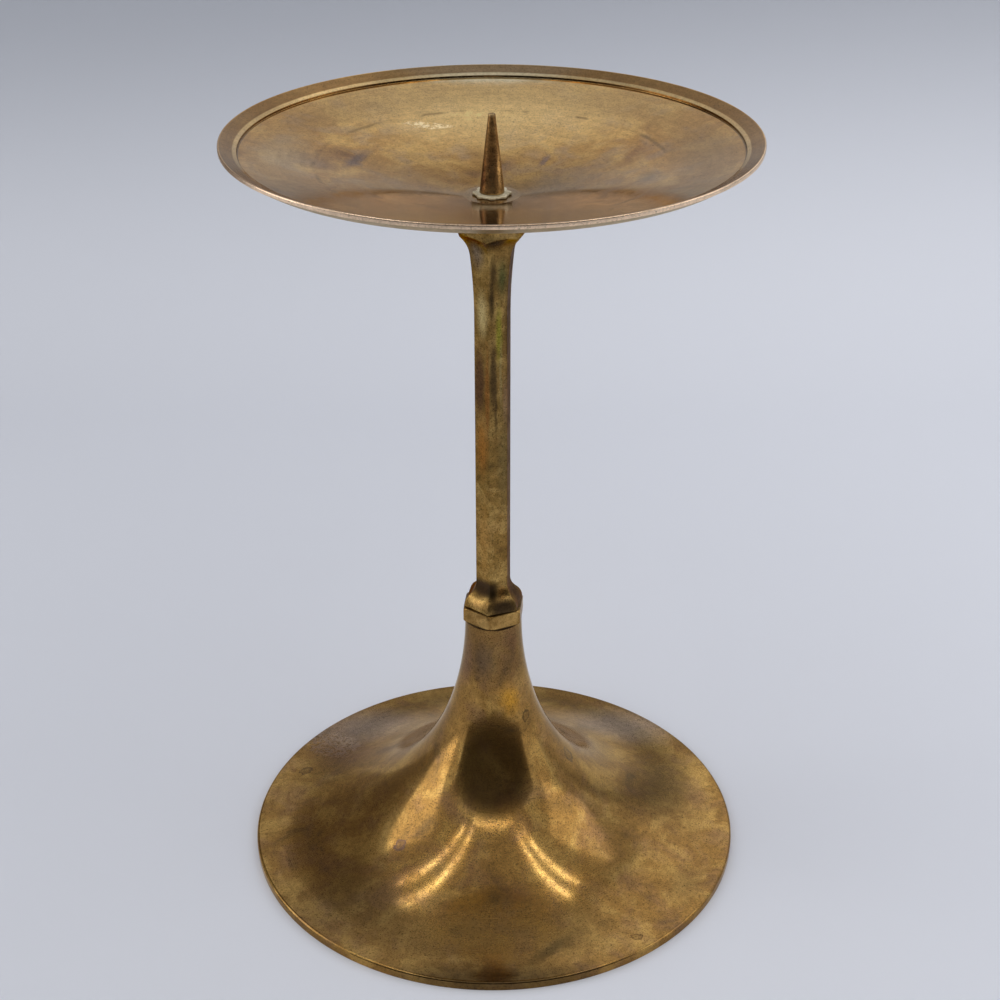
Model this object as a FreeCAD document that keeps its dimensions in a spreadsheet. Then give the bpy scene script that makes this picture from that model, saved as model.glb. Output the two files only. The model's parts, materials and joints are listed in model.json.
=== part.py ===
import FreeCAD, Part
import math
import os
import Sketcher

# Pricket candle stand
#
# The stand is drawn in millimetres with its origin in the middle of the
# foot's resting edge, +Z up and the viewer on the -Y side. Every piece is
# turned about the Z axis, so each one is drawn from its own seat upwards and
# then lifted to the height that the pieces below it add up to.

DIMENSIONS = {
    # Trumpet foot
    "foot_radius": 80.0,
    "foot_height": 83.2,
    "foot_edge_height": 2.9,
    "foot_edge_rounding": 0.9,
    "foot_wall": 2.4,
    "rest_ring_width": 6.0,
    "neck_radius": 9.0,
    "neck_chamfer": 0.3,
    "flare_top_radius": 13.5,
    "neck_length": 30.6,
    "screw_seat_drop": 25.2,

    # Hex collar
    "collar_across_flats": 18.0,
    "collar_height": 5.2,
    "collar_face_radius": 9.5,
    "collar_corner_drop": 0.75,
    "collar_turn": -6.0,

    # Hex stem
    "stem_length": 132.2,
    "stem_across_flats": 9.8,
    "stem_bar_radius": 10.0,
    "stem_turn": -10.5,
    "shoulder_across_flats": 16.9,
    "shoulder_height": 8.3,
    "swell_start_drop": 34.6,
    "swell_end_drop": 15.6,
    "swell_growth": 1.0,
    "runout_rise": 9.4,
    "runout_reach": 10.4,
    "flange_radius": 12.5,
    "flange_height": 2.6,
    "flange_flare_drop": 9.1,

    # Screw joints
    "thread_radius": 3.0,
    "thread_pitch": 1.0,
    "thread_depth": 0.6,
    "thread_cut_past": 0.15,
    "thread_running_gap": 0.05,
    "clearance_hole_gap": 0.3,
    "foot_bore_depth": 20.0,
    "spike_bore_depth": 16.0,
    "drill_point_height": 1.75,

    # Drip dish
    "dish_radius": 75.5,
    "dish_rise": 19.2,
    "dish_floor_thickness": 1.7,
    "dish_floor_radius": 8.0,
    "dish_boss_radius": 12.6,
    "lip_width": 5.2,
    "lip_drop": 2.9,
    "lip_shoulder_height": 0.7,
    "lip_bevel_width": 1.4,
    "lip_bevel_rise": 0.65,
    "lip_edge_height": 1.2,
    "lip_edge_rounding": 0.35,
    "pan_wall": 1.3,

    # Scalloped washer
    "spike_washer_thickness": 0.8,
    "spike_washer_body_radius": 4.95,
    "scallop_radius": 1.15,
    "scallop_place_radius": 4.4,
    "scallop_count": 8,
    "spike_washer_edge_rounding": 0.25,

    # Pricket
    "spike_height": 22.4,
    "spike_base_radius": 3.5,
    "spike_base_band": 0.5,
    "spike_tip_radius": 1.0,
    "spike_tip_rounding": 0.3,
    "spike_stud_length": 16.5,
    "stud_end_chamfer": 0.6,

    # Foot screw
    "screw_shank_length": 50.0,
    "screw_thread_length": 24.0,
    "screw_head_radius": 5.0,
    "screw_head_height": 3.9,
    "screw_head_rounding": 0.5,
    "screw_slot_width": 1.6,
    "screw_slot_depth": 1.6,

    # Foot washers
    "flat_washer_radius": 6.0,
    "flat_washer_bore_radius": 3.2,
    "flat_washer_thickness": 1.6,
    "flat_washer_chamfer": 0.3,
    "spring_washer_radius": 5.9,
    "spring_washer_bore_radius": 3.05,
    "spring_washer_thickness": 1.6,
    "spring_washer_gap": 0.8,
    "spring_washer_gap_shift": 0.6,

    # Making
    "cut_overrun": 1.0,
}

FACET_COUNT = 6
FULL_TURN = 360.0
HALF_SHARE = 0.5
THREAD_FLANK_SHARE = math.tan(math.radians(30.0))
CLOSED_SHAPE_TOLERANCE_SHARE = 1e-6

# How a sketch numbers its own axes and the points of a line or an arc
ACROSS_AXIS_INDEX = -1
UP_AXIS_INDEX = -2
FIRST_POINT_INDEX = 1
LAST_POINT_INDEX = 2
CENTRE_POINT_INDEX = 3


class Size:
    """A size as a number together with the sheet expression that gives it."""

    def __init__(self, number, text):
        self.number = number
        self.text = text

    @staticmethod
    def of(value):
        if isinstance(value, Size):
            return value
        return Size(float(value), repr(float(value)))

    def join(self, sign, other, number):
        return Size(number, "(" + self.text + " " + sign + " " + other.text + ")")

    def __add__(self, other):
        other = Size.of(other)
        return self.join("+", other, self.number + other.number)

    def __sub__(self, other):
        other = Size.of(other)
        return self.join("-", other, self.number - other.number)

    def __mul__(self, other):
        other = Size.of(other)
        return self.join("*", other, self.number * other.number)

    def __truediv__(self, other):
        other = Size.of(other)
        return self.join("/", other, self.number / other.number)

    def __neg__(self):
        return Size(-self.number, "(-" + self.text + ")")

    def root(self):
        return Size(math.sqrt(self.number), "sqrt(" + self.text + ")")


class Arc:
    """The rounded run from one corner to the next, turning left or right."""

    def __init__(self, radius, left):
        self.radius = radius
        self.left = left


ORIGIN = Size(0.0, "0")


def arc_radius(across, along):
    """Radius of an arc that sets off along one axis and ends both legs away."""
    return (across * across + along * along) / (across * 2)


# The document and its sheet of sizes

doc = FreeCAD.newDocument("pricket_candle_stand")
sheet = doc.addObject("Spreadsheet::Sheet", "Sizes")
SIZES = {}
for row, (alias, number) in enumerate(DIMENSIONS.items(), start=1):
    sheet.set("A%d" % row, alias.replace("_", " "))
    sheet.set("B%d" % row, repr(number))
    sheet.setAlias("B%d" % row, alias)
    SIZES[alias] = Size(float(number), "Sizes." + alias)
doc.recompute()


def size(alias):
    return SIZES[alias]


def bind(feature, path, value):
    """Ties a property of a feature to the sheet."""
    feature.setExpression(path, Size.of(value).text)


# Drawing helpers

def new_body(name):
    body = doc.addObject("PartDesign::Body", name)
    body.Label = name
    return body


def new_sketch(body, name, role):
    sketch = body.newObject("Sketcher::SketchObject", name)
    planes = [item for item in body.Origin.OriginFeatures if item.Role == role]
    sketch.AttachmentSupport = [(planes[0], "")]
    sketch.MapMode = "FlatFace"
    return sketch


def hold(sketch, kind, geometry, point, value):
    """Fixes one coordinate of a point, measured from the sketch's origin."""
    if value.number < 0:
        distance = -value
        index = sketch.addConstraint(Sketcher.Constraint(
            kind, geometry, point, ACROSS_AXIS_INDEX, FIRST_POINT_INDEX, distance.number))
    elif value.number > 0:
        distance = value
        index = sketch.addConstraint(Sketcher.Constraint(
            kind, ACROSS_AXIS_INDEX, FIRST_POINT_INDEX, geometry, point, distance.number))
    else:
        axis = UP_AXIS_INDEX if kind == "DistanceX" else ACROSS_AXIS_INDEX
        sketch.addConstraint(Sketcher.Constraint("PointOnObject", geometry, point, axis))
        return
    sketch.setExpression("Constraints[%d]" % index, distance.text)


def add_run(sketch, start, end, arc):
    """Adds one line or arc and returns its number and its two end points."""
    if arc is None:
        number = sketch.addGeometry(Part.LineSegment(start, end), False)
        return number, FIRST_POINT_INDEX, LAST_POINT_INDEX
    chord = end - start
    half = chord.Length * HALF_SHARE
    away = math.sqrt(max(arc.radius.number ** 2 - half ** 2, 0.0))
    side = FreeCAD.Vector(-chord.y, chord.x, 0)
    side.normalize()
    if not arc.left:
        side = -side
    centre = start + chord * HALF_SHARE + side * away
    first, last = (start, end) if arc.left else (end, start)
    circle = Part.Circle(centre, FreeCAD.Vector(0, 0, 1), arc.radius.number)
    angles = [math.atan2(spot.y - centre.y, spot.x - centre.x) for spot in (first, last)]
    number = sketch.addGeometry(Part.ArcOfCircle(circle, angles[0], angles[1]), False)
    if arc.left:
        return number, FIRST_POINT_INDEX, LAST_POINT_INDEX
    return number, LAST_POINT_INDEX, FIRST_POINT_INDEX


def draw_outline(sketch, corners):
    """Draws a closed outline through corners of (across, up, arc or None)."""
    spots = [FreeCAD.Vector(corner[0].number, corner[1].number, 0) for corner in corners]
    runs = []
    for index, corner in enumerate(corners):
        following = spots[(index + 1) % len(spots)]
        runs.append(add_run(sketch, spots[index], following, corner[2]))
    for index, run in enumerate(runs):
        after = runs[(index + 1) % len(runs)]
        sketch.addConstraint(
            Sketcher.Constraint("Coincident", run[0], run[2], after[0], after[1]))
    for run, corner in zip(runs, corners):
        hold(sketch, "DistanceX", run[0], run[1], corner[0])
        hold(sketch, "DistanceY", run[0], run[1], corner[1])
        if corner[2] is not None:
            index = sketch.addConstraint(
                Sketcher.Constraint("Radius", run[0], corner[2].radius.number))
            sketch.setExpression("Constraints[%d]" % index, corner[2].radius.text)


def draw_circle(sketch, across, up, radius):
    centre = FreeCAD.Vector(across.number, up.number, 0)
    circle = Part.Circle(centre, FreeCAD.Vector(0, 0, 1), radius.number)
    number = sketch.addGeometry(circle, False)
    hold(sketch, "DistanceX", number, CENTRE_POINT_INDEX, across)
    hold(sketch, "DistanceY", number, CENTRE_POINT_INDEX, up)
    index = sketch.addConstraint(Sketcher.Constraint("Radius", number, radius.number))
    sketch.setExpression("Constraints[%d]" % index, radius.text)


def turn_solid(body, kind, name, corners):
    """Turns an outline of (radius, height) about the body's own Z axis."""
    sketch = new_sketch(body, name + "_outline", "XZ_Plane")
    draw_outline(sketch, corners)
    feature = body.newObject(kind, name)
    feature.Profile = sketch
    feature.ReferenceAxis = (sketch, ["V_Axis"])
    feature.Angle = FULL_TURN
    return feature


def cut_facets(body, name, corners, width):
    """Mills the six flats: one cut along Y, repeated round the Z axis."""
    sketch = new_sketch(body, name + "_outline", "XZ_Plane")
    draw_outline(sketch, corners)
    facet = body.newObject("PartDesign::Pocket", name)
    facet.Profile = sketch
    facet.Type = "Length"
    facet.Midplane = True
    bind(facet, "Length", width)
    return repeat(body, name + "_round", facet, FACET_COUNT)


def repeat(body, name, feature, count):
    pattern = body.newObject("PartDesign::PolarPattern", name)
    pattern.Originals = [feature]
    axes = [item for item in body.Origin.OriginFeatures if item.Role == "Z_Axis"]
    pattern.Axis = (axes[0], [""])
    pattern.Angle = FULL_TURN
    if isinstance(count, Size):
        bind(pattern, "Occurrences", count)
    else:
        pattern.Occurrences = count
    body.Tip = pattern
    return pattern


def lift(body, height, turn=None):
    """Stands a finished piece on its seat, turned about the stand's axis."""
    bind(body, ".Placement.Base.z", height)
    if turn is not None:
        bind(body, ".Placement.Rotation.Angle", turn)


def cut_thread(body, name, start, height):
    """Cuts a right-hand thread into a shank, from a starting height upwards."""
    crest = size("thread_radius")
    root = crest - size("thread_depth")
    past = crest + size("thread_cut_past")
    flank = (past - root) * THREAD_FLANK_SHARE
    sketch = new_sketch(body, name + "_outline", "XZ_Plane")
    draw_outline(sketch, [
        (root, start, None),
        (past, start - flank, None),
        (past, start + flank, None),
    ])
    helix = body.newObject("PartDesign::SubtractiveHelix", name)
    helix.Profile = sketch
    helix.ReferenceAxis = (sketch, ["V_Axis"])
    helix.Mode = "pitch-height-angle"
    bind(helix, "Pitch", size("thread_pitch"))
    bind(helix, "Height", height)


# Heights that the pieces add up to

collar_seat = size("foot_height")
stem_seat = collar_seat + size("collar_height")
dish_seat = stem_seat + size("stem_length")
washer_seat = dish_seat + size("dish_floor_thickness")
spike_seat = washer_seat + size("spike_washer_thickness")
screw_seat = size("foot_height") - size("screw_seat_drop")
clearance_radius = size("thread_radius") + size("clearance_hole_gap")
tapped_radius = size("thread_radius") + size("thread_running_gap")
overrun = size("cut_overrun")


# The foot: a bell with a solid neck, drawn as half a section

def make_foot():
    body = new_body("trumpet_foot")
    radius = size("foot_radius")
    flare_top = size("foot_height") - size("neck_length")
    flare_reach = radius - size("flare_top_radius")
    flare_drop = flare_top - size("foot_edge_height")
    flare = arc_radius(flare_drop, flare_reach)
    flare_centre = size("foot_edge_height") + flare
    neck_spread = size("flare_top_radius") - size("neck_radius")
    neck = arc_radius(neck_spread, size("neck_length") - size("neck_chamfer"))
    inside = flare + size("foot_wall")
    seat_fall = flare_centre - screw_seat
    seat_radius = radius - (inside * inside - seat_fall * seat_fall).root()
    ring_radius = radius - size("rest_ring_width")
    ring_fall = inside * inside - size("rest_ring_width") * size("rest_ring_width")
    ring_top = flare_centre - ring_fall.root()
    rounding = size("foot_edge_rounding")
    edge_fall = flare * flare - rounding * rounding
    edge_top = flare_centre - edge_fall.root()
    turn_solid(body, "PartDesign::Revolution", "bell", [
        (radius, ORIGIN, None),
        (radius, edge_top - rounding, Arc(rounding, True)),
        (radius - rounding, edge_top, Arc(flare, False)),
        (size("flare_top_radius"), flare_top, Arc(neck, False)),
        (size("neck_radius"), size("foot_height") - size("neck_chamfer"), None),
        (size("neck_radius") - size("neck_chamfer"), size("foot_height"), None),
        (clearance_radius, size("foot_height"), None),
        (clearance_radius, screw_seat, None),
        (seat_radius, screw_seat, Arc(inside, True)),
        (ring_radius, ring_top, None),
        (ring_radius, ORIGIN, None),
    ])
    return body


# The collar: a hexagonal ring with its corners turned off like a nut's

def make_collar():
    body = new_body("hex_collar")
    flat = size("collar_across_flats") * HALF_SHARE
    corner = flat / Size.of(math.cos(math.pi / FACET_COUNT))
    drop = size("collar_corner_drop")
    height = size("collar_height")
    turn_solid(body, "PartDesign::Revolution", "ring", [
        (clearance_radius, ORIGIN, None),
        (size("collar_face_radius"), ORIGIN, None),
        (corner, drop, None),
        (corner, height - drop, None),
        (size("collar_face_radius"), height, None),
        (clearance_radius, height, None),
    ])
    cut_facets(body, "flat", [
        (flat, -overrun, None),
        (corner + overrun, -overrun, None),
        (corner + overrun, height + overrun, None),
        (flat, height + overrun, None),
    ], corner * 2)
    lift(body, collar_seat, size("collar_turn"))
    return body


# The stem: round bar with a flange, six flats milled along it, bored both ends

def make_stem():
    body = new_body("hex_stem")
    length = size("stem_length")
    bar = size("stem_bar_radius")
    flange = size("flange_radius")
    flange_foot = length - size("flange_height")
    flare_foot = length - size("flange_flare_drop")
    flare = arc_radius(flange - bar, flange_foot - flare_foot)
    turn_solid(body, "PartDesign::Revolution", "bar", [
        (ORIGIN, ORIGIN, None),
        (bar, ORIGIN, None),
        (bar, flare_foot, Arc(flare, False)),
        (flange, flange_foot, None),
        (flange, length, None),
        (ORIGIN, length, None),
    ])
    slim = size("stem_across_flats") * HALF_SHARE
    shoulder = size("shoulder_across_flats") * HALF_SHARE
    ogee_half = size("shoulder_height") * HALF_SHARE
    ogee_middle = (slim + shoulder) * HALF_SHARE
    ogee = arc_radius(shoulder - ogee_middle, ogee_half)
    swell_start = length - size("swell_start_drop")
    swell_end = length - size("swell_end_drop")
    swell = arc_radius(size("swell_growth"), swell_end - swell_start)
    swollen = slim + size("swell_growth")
    runout_end = swollen + size("runout_reach")
    runout_top = swell_end + size("runout_rise")
    runout = arc_radius(size("runout_rise"), size("runout_reach"))
    cut_facets(body, "facet", [
        (shoulder, -overrun, None),
        (runout_end + overrun, -overrun, None),
        (runout_end + overrun, runout_top, None),
        (runout_end, runout_top, Arc(runout, True)),
        (swollen, swell_end, Arc(swell, True)),
        (slim, swell_start, None),
        (slim, size("shoulder_height"), Arc(ogee, True)),
        (ogee_middle, ogee_half, Arc(ogee, False)),
        (shoulder, ORIGIN, None),
    ], (flange + overrun) * 2)
    drill_bore(body, "foot_bore", ORIGIN, size("foot_bore_depth"), overrun)
    drill_bore(body, "spike_bore", length, -size("spike_bore_depth"), -overrun)
    lift(body, stem_seat, size("stem_turn"))
    return body


def drill_bore(body, name, mouth, depth, past):
    """A blind bore with a drill point, from its mouth inwards."""
    point = size("drill_point_height")
    if depth.number < 0:
        point = -point
    turn_solid(body, "PartDesign::Groove", name, [
        (ORIGIN, mouth - past, None),
        (tapped_radius, mouth - past, None),
        (tapped_radius, mouth + depth, None),
        (ORIGIN, mouth + depth + point, None),
    ])


# The dish: a shallow cone with a flat boss, a step and a turned lip

def make_dish():
    body = new_body("drip_dish")
    floor = size("dish_floor_thickness")
    rounding = size("lip_edge_rounding")
    rim = size("dish_radius")
    rise = size("dish_rise")
    pan_radius = rim - size("lip_width")
    pan_edge = rise - size("lip_drop")
    shoulder = pan_edge + size("lip_shoulder_height")
    bevel_radius = pan_radius + size("lip_bevel_width")
    bevel_top = shoulder + size("lip_bevel_rise")
    under_lip = rise - size("lip_edge_height")
    turn_solid(body, "PartDesign::Revolution", "pan", [
        (clearance_radius, ORIGIN, None),
        (size("dish_boss_radius"), ORIGIN, None),
        (bevel_radius, shoulder - size("pan_wall"), None),
        (rim, under_lip, None),
        (rim, rise - rounding, Arc(rounding, True)),
        (rim - rounding, rise, None),
        (bevel_radius, bevel_top, None),
        (pan_radius, shoulder, None),
        (pan_radius, pan_edge, None),
        (size("dish_floor_radius"), floor, None),
        (clearance_radius, floor, None),
    ])
    lift(body, dish_seat)
    return body


# The scalloped washer: a disc with lobes round it, bored for the stud

def make_spike_washer():
    body = new_body("spike_washer")
    thickness = size("spike_washer_thickness")
    disc_sketch = new_sketch(body, "disc_outline", "XY_Plane")
    draw_circle(disc_sketch, ORIGIN, ORIGIN, size("spike_washer_body_radius"))
    disc = body.newObject("PartDesign::Pad", "disc")
    disc.Profile = disc_sketch
    bind(disc, "Length", thickness)
    lobe_sketch = new_sketch(body, "lobe_outline", "XY_Plane")
    draw_circle(lobe_sketch, size("scallop_place_radius"), ORIGIN, size("scallop_radius"))
    lobe = body.newObject("PartDesign::Pad", "lobe")
    lobe.Profile = lobe_sketch
    bind(lobe, "Length", thickness)
    repeat(body, "lobes", lobe, size("scallop_count"))
    bore_sketch = new_sketch(body, "bore_outline", "XY_Plane")
    draw_circle(bore_sketch, ORIGIN, ORIGIN, clearance_radius)
    bore = body.newObject("PartDesign::Pocket", "bore")
    bore.Profile = bore_sketch
    bore.Type = "Length"
    bore.Reversed = True
    bind(bore, "Length", thickness)
    doc.recompute()
    rims = top_edges(bore.Shape, thickness.number, clearance_radius.number)
    rounding = body.newObject("PartDesign::Fillet", "rim_rounding")
    rounding.Base = (bore, rims)
    bind(rounding, "Radius", size("spike_washer_edge_rounding"))
    lift(body, washer_seat)
    return body


def top_edges(shape, height, inner_radius):
    """Names the outer edges that lie in the plane at the given height."""
    near = height * CLOSED_SHAPE_TOLERANCE_SHARE
    names = []
    for index, edge in enumerate(shape.Edges, start=1):
        box = edge.BoundBox
        level = abs(box.ZMin - height) < near and abs(box.ZMax - height) < near
        reach = max(math.hypot(vertex.X, vertex.Y) for vertex in edge.Vertexes)
        if level and reach > inner_radius + near:
            names.append("Edge%d" % index)
    return names


# The pricket: a slim cone with a band at its base and a stud below it

def make_spike():
    body = new_body("pricket_spike")
    base = size("spike_base_radius")
    band = size("spike_base_band")
    tip = size("spike_tip_radius")
    rounding = size("spike_tip_rounding")
    height = size("spike_height")
    stud = size("thread_radius")
    chamfer = size("stud_end_chamfer")
    length = size("spike_stud_length")
    turn_solid(body, "PartDesign::Revolution", "cone", [
        (ORIGIN, -length, None),
        (stud - chamfer, -length, None),
        (stud, chamfer - length, None),
        (stud, ORIGIN, None),
        (base, ORIGIN, None),
        (base, band, None),
        (tip, height - rounding, Arc(rounding, True)),
        (tip - rounding, height, None),
        (ORIGIN, height, None),
    ])
    doc.recompute()
    cut_thread(body, "stud_thread", -length - size("thread_pitch"), length)
    lift(body, spike_seat)
    return body


# The screw that draws the foot, collar and stem together, seen from below

def make_foot_screw():
    body = new_body("foot_screw")
    head = size("screw_head_radius")
    head_height = size("screw_head_height")
    rounding = size("screw_head_rounding")
    shank = size("thread_radius")
    chamfer = size("stud_end_chamfer")
    length = head_height + size("screw_shank_length")
    turn_solid(body, "PartDesign::Revolution", "shank", [
        (ORIGIN, ORIGIN, None),
        (head - rounding, ORIGIN, Arc(rounding, True)),
        (head, rounding, None),
        (head, head_height, None),
        (shank, head_height, None),
        (shank, length - chamfer, None),
        (shank - chamfer, length, None),
        (ORIGIN, length, None),
    ])
    slot_sketch = new_sketch(body, "slot_outline", "XZ_Plane")
    slot_half = size("screw_slot_width") * HALF_SHARE
    draw_outline(slot_sketch, [
        (-slot_half, -overrun, None),
        (slot_half, -overrun, None),
        (slot_half, size("screw_slot_depth"), None),
        (-slot_half, size("screw_slot_depth"), None),
    ])
    slot = body.newObject("PartDesign::Pocket", "slot")
    slot.Profile = slot_sketch
    slot.Type = "Length"
    slot.Midplane = True
    bind(slot, "Length", head * 2 + overrun * 2)
    doc.recompute()
    thread = size("screw_thread_length")
    cut_thread(body, "shank_thread", length - thread, thread + size("thread_pitch"))
    washers = size("flat_washer_thickness") + size("spring_washer_thickness")
    lift(body, screw_seat - washers - head_height)
    return body


# The plain washer against the foot and the split spring washer under it

def make_flat_washer():
    body = new_body("foot_flat_washer")
    thickness = size("flat_washer_thickness")
    outer = size("flat_washer_radius")
    inner = size("flat_washer_bore_radius")
    chamfer = size("flat_washer_chamfer")
    turn_solid(body, "PartDesign::Revolution", "disc", [
        (inner, ORIGIN, None),
        (outer - chamfer, ORIGIN, None),
        (outer, chamfer, None),
        (outer, thickness, None),
        (inner, thickness, None),
    ])
    lift(body, screw_seat - thickness)
    return body


def make_spring_washer():
    body = new_body("foot_spring_washer")
    thickness = size("spring_washer_thickness")
    outer = size("spring_washer_radius")
    ring_sketch = new_sketch(body, "ring_outline", "XY_Plane")
    draw_circle(ring_sketch, ORIGIN, ORIGIN, outer)
    draw_circle(ring_sketch, ORIGIN, ORIGIN, size("spring_washer_bore_radius"))
    ring = body.newObject("PartDesign::Pad", "ring")
    ring.Profile = ring_sketch
    bind(ring, "Length", thickness)
    gap_half = size("spring_washer_gap") * HALF_SHARE
    shift = size("spring_washer_gap_shift")
    gap_sketch = new_sketch(body, "gap_outline", "XZ_Plane")
    draw_outline(gap_sketch, [
        (-gap_half, ORIGIN, None),
        (gap_half, ORIGIN, None),
        (gap_half + shift, thickness, None),
        (shift - gap_half, thickness, None),
    ])
    gap = body.newObject("PartDesign::Pocket", "gap")
    gap.Profile = gap_sketch
    gap.Type = "Length"
    bind(gap, "Length", outer + overrun)
    lift(body, screw_seat - size("flat_washer_thickness") - thickness)
    return body


pieces = [
    make_foot(),
    make_collar(),
    make_stem(),
    make_dish(),
    make_spike_washer(),
    make_spike(),
    make_foot_screw(),
    make_flat_washer(),
    make_spring_washer(),
]
doc.recompute()


# Checks before anything is written

for item in doc.Objects:
    if "Invalid" in item.State or "Error" in item.State:
        raise RuntimeError("not built: " + item.Label + " " + str(item.State))
for body in pieces:
    shape = body.Shape
    if shape.isNull() or not shape.isValid() or not shape.Solids:
        raise RuntimeError("no valid solid: " + body.Label)

os.makedirs("parts", exist_ok=True)
for body in pieces:
    box = body.Shape.BoundBox
    print("%-20s solids %d  volume %9.1f  z %7.2f to %7.2f  across %6.2f" % (
        body.Label, len(body.Shape.Solids), body.Shape.Volume, box.ZMin, box.ZMax, box.XLength))
    body.Shape.exportStep(os.path.join("parts", body.Label + ".step"))
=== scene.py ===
import json
import logging
import math
from dataclasses import dataclass
from enum import Enum
from typing import Sequence, Union

import bmesh
import bpy
import numpy as np
from mathutils import Matrix, Vector

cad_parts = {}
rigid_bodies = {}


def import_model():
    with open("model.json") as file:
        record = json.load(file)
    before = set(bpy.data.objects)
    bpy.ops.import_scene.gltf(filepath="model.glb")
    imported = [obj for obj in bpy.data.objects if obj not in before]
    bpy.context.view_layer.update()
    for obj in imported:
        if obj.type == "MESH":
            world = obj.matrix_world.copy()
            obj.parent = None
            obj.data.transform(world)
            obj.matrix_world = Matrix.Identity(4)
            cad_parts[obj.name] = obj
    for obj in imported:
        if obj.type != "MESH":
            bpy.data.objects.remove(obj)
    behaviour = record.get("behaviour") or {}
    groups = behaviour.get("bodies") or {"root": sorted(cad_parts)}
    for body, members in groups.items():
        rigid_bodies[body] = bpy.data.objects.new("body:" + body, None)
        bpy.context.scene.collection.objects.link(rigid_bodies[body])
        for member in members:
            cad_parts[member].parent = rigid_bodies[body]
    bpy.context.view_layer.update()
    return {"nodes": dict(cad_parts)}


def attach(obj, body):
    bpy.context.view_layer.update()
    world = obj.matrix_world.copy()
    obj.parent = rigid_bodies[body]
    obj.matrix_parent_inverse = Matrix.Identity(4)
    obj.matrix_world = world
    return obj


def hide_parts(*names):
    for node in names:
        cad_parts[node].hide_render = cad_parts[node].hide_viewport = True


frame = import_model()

# The brass pricket candle stand, dressed for the light. Each sub-assembly is a
# class that holds its sizes in millimetres, builds its meshes round the stand's
# own axis and gives them their finish. The tools that they share come first.

MM = 0.001

# In metres: points nearer than these are one, before and after a mesh is made
# plain, and an edge shorter than the last is no edge
SAME_POINT = 2e-7
SAME_VERTEX = 1e-7
NO_EDGE = 1e-8

# The stem and the collar have six sides
SIDES = 6
HALF_FACET = math.pi / SIDES

# The kinds of node that are used most, the settings that go with them, and the
# sockets of a colour mix
MATH = "ShaderNodeMath"
VECTOR = "ShaderNodeVectorMath"
RANGE = "ShaderNodeMapRange"
MIX = "ShaderNodeMix"
NOISE = "ShaderNodeTexNoise"
SMOOTH = {"interpolation_type": "SMOOTHSTEP"}
COLOURS = {"data_type": "RGBA", "out": 2}
SHARE, UNDER, OVER = 0, 6, 7

log = logging.getLogger("candle_stand")


class Body(Enum):
    """The bodies that the pieces ride on."""

    STAND = "stand"
    WASHER = "washer"
    PRICKET = "pricket"


class Turn(Enum):
    """Which way an outline bends on its way to the next corner."""

    STRAIGHT = 0
    LEFT = 1
    RIGHT = -1


class Grain(Enum):
    """The direction that a tool left its fine lines in."""

    TURNED = "rings round the axis"
    DRAWN = "lines along the axis"


class MarkShape(Enum):
    """What a mark on the metal looks like."""

    PATCH = "a soft cloudy patch"
    RING = "a dried drop with a darker rim"
    FLECK = "hard-edged flecks that stand proud"
    STREAK = "a patch with a firmer edge, as where something ran down"


# Small shared tools


def linear(hex_colour: str) -> tuple[float, float, float, float]:
    """Turns an sRGB hex colour into linear light.

    Args:
        hex_colour: the colour as six hex digits after a hash.

    Returns:
        Red, green, blue and an alpha of one.
    """
    parts = [int(hex_colour[i:i + 2], 16) / 255.0 for i in (1, 3, 5)]
    light = [p / 12.92 if p <= 0.04045 else ((p + 0.055) / 1.055) ** 2.4 for p in parts]
    return light[0], light[1], light[2], 1.0


Value = Union[float, int, tuple, bpy.types.NodeSocket]


class NodeSheet:
    """A node tree that is being written."""

    def __init__(self, tree: bpy.types.NodeTree) -> None:
        """Takes up the tree."""
        self.tree = tree

    def add(self, kind: str, inputs: Union[dict, Sequence[Value]] = (),
            out: Union[int, str] = 0, **settings: object) -> Value:
        """Adds one node with its settings and links.

        Args:
            kind: the node's type name.
            inputs: a value or a socket to link from for each input, in the order of
                the inputs or by their names or numbers.
            out: name or number of the output to hand back.
            **settings: the node's own properties.

        Returns:
            The chosen output socket, or the node itself if it has no outputs.
        """
        node = self.tree.nodes.new(kind)
        for name, value in settings.items():
            setattr(node, name, value)
        pairs = inputs.items() if isinstance(inputs, dict) else enumerate(inputs)
        for key, value in pairs:
            if isinstance(value, bpy.types.NodeSocket):
                self.tree.links.new(value, node.inputs[key])
            else:
                node.inputs[key].default_value = value
        return node.outputs[out] if len(node.outputs) else node


def arc_radius(across: float, along: float) -> float:
    """Radius of an arc that sets off along one axis and ends both legs away."""
    return (across * across + along * along) / (2.0 * across)


# Outlines and skins


@dataclass(frozen=True)
class Corner:
    """One corner of an outline and the run that leaves it, in millimetres.

    `turn` is the way that the run bends, and `arc` the radius of its bend.
    """

    radius: float
    height: float
    turn: Turn = Turn.STRAIGHT
    arc: float = 0.0


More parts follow.
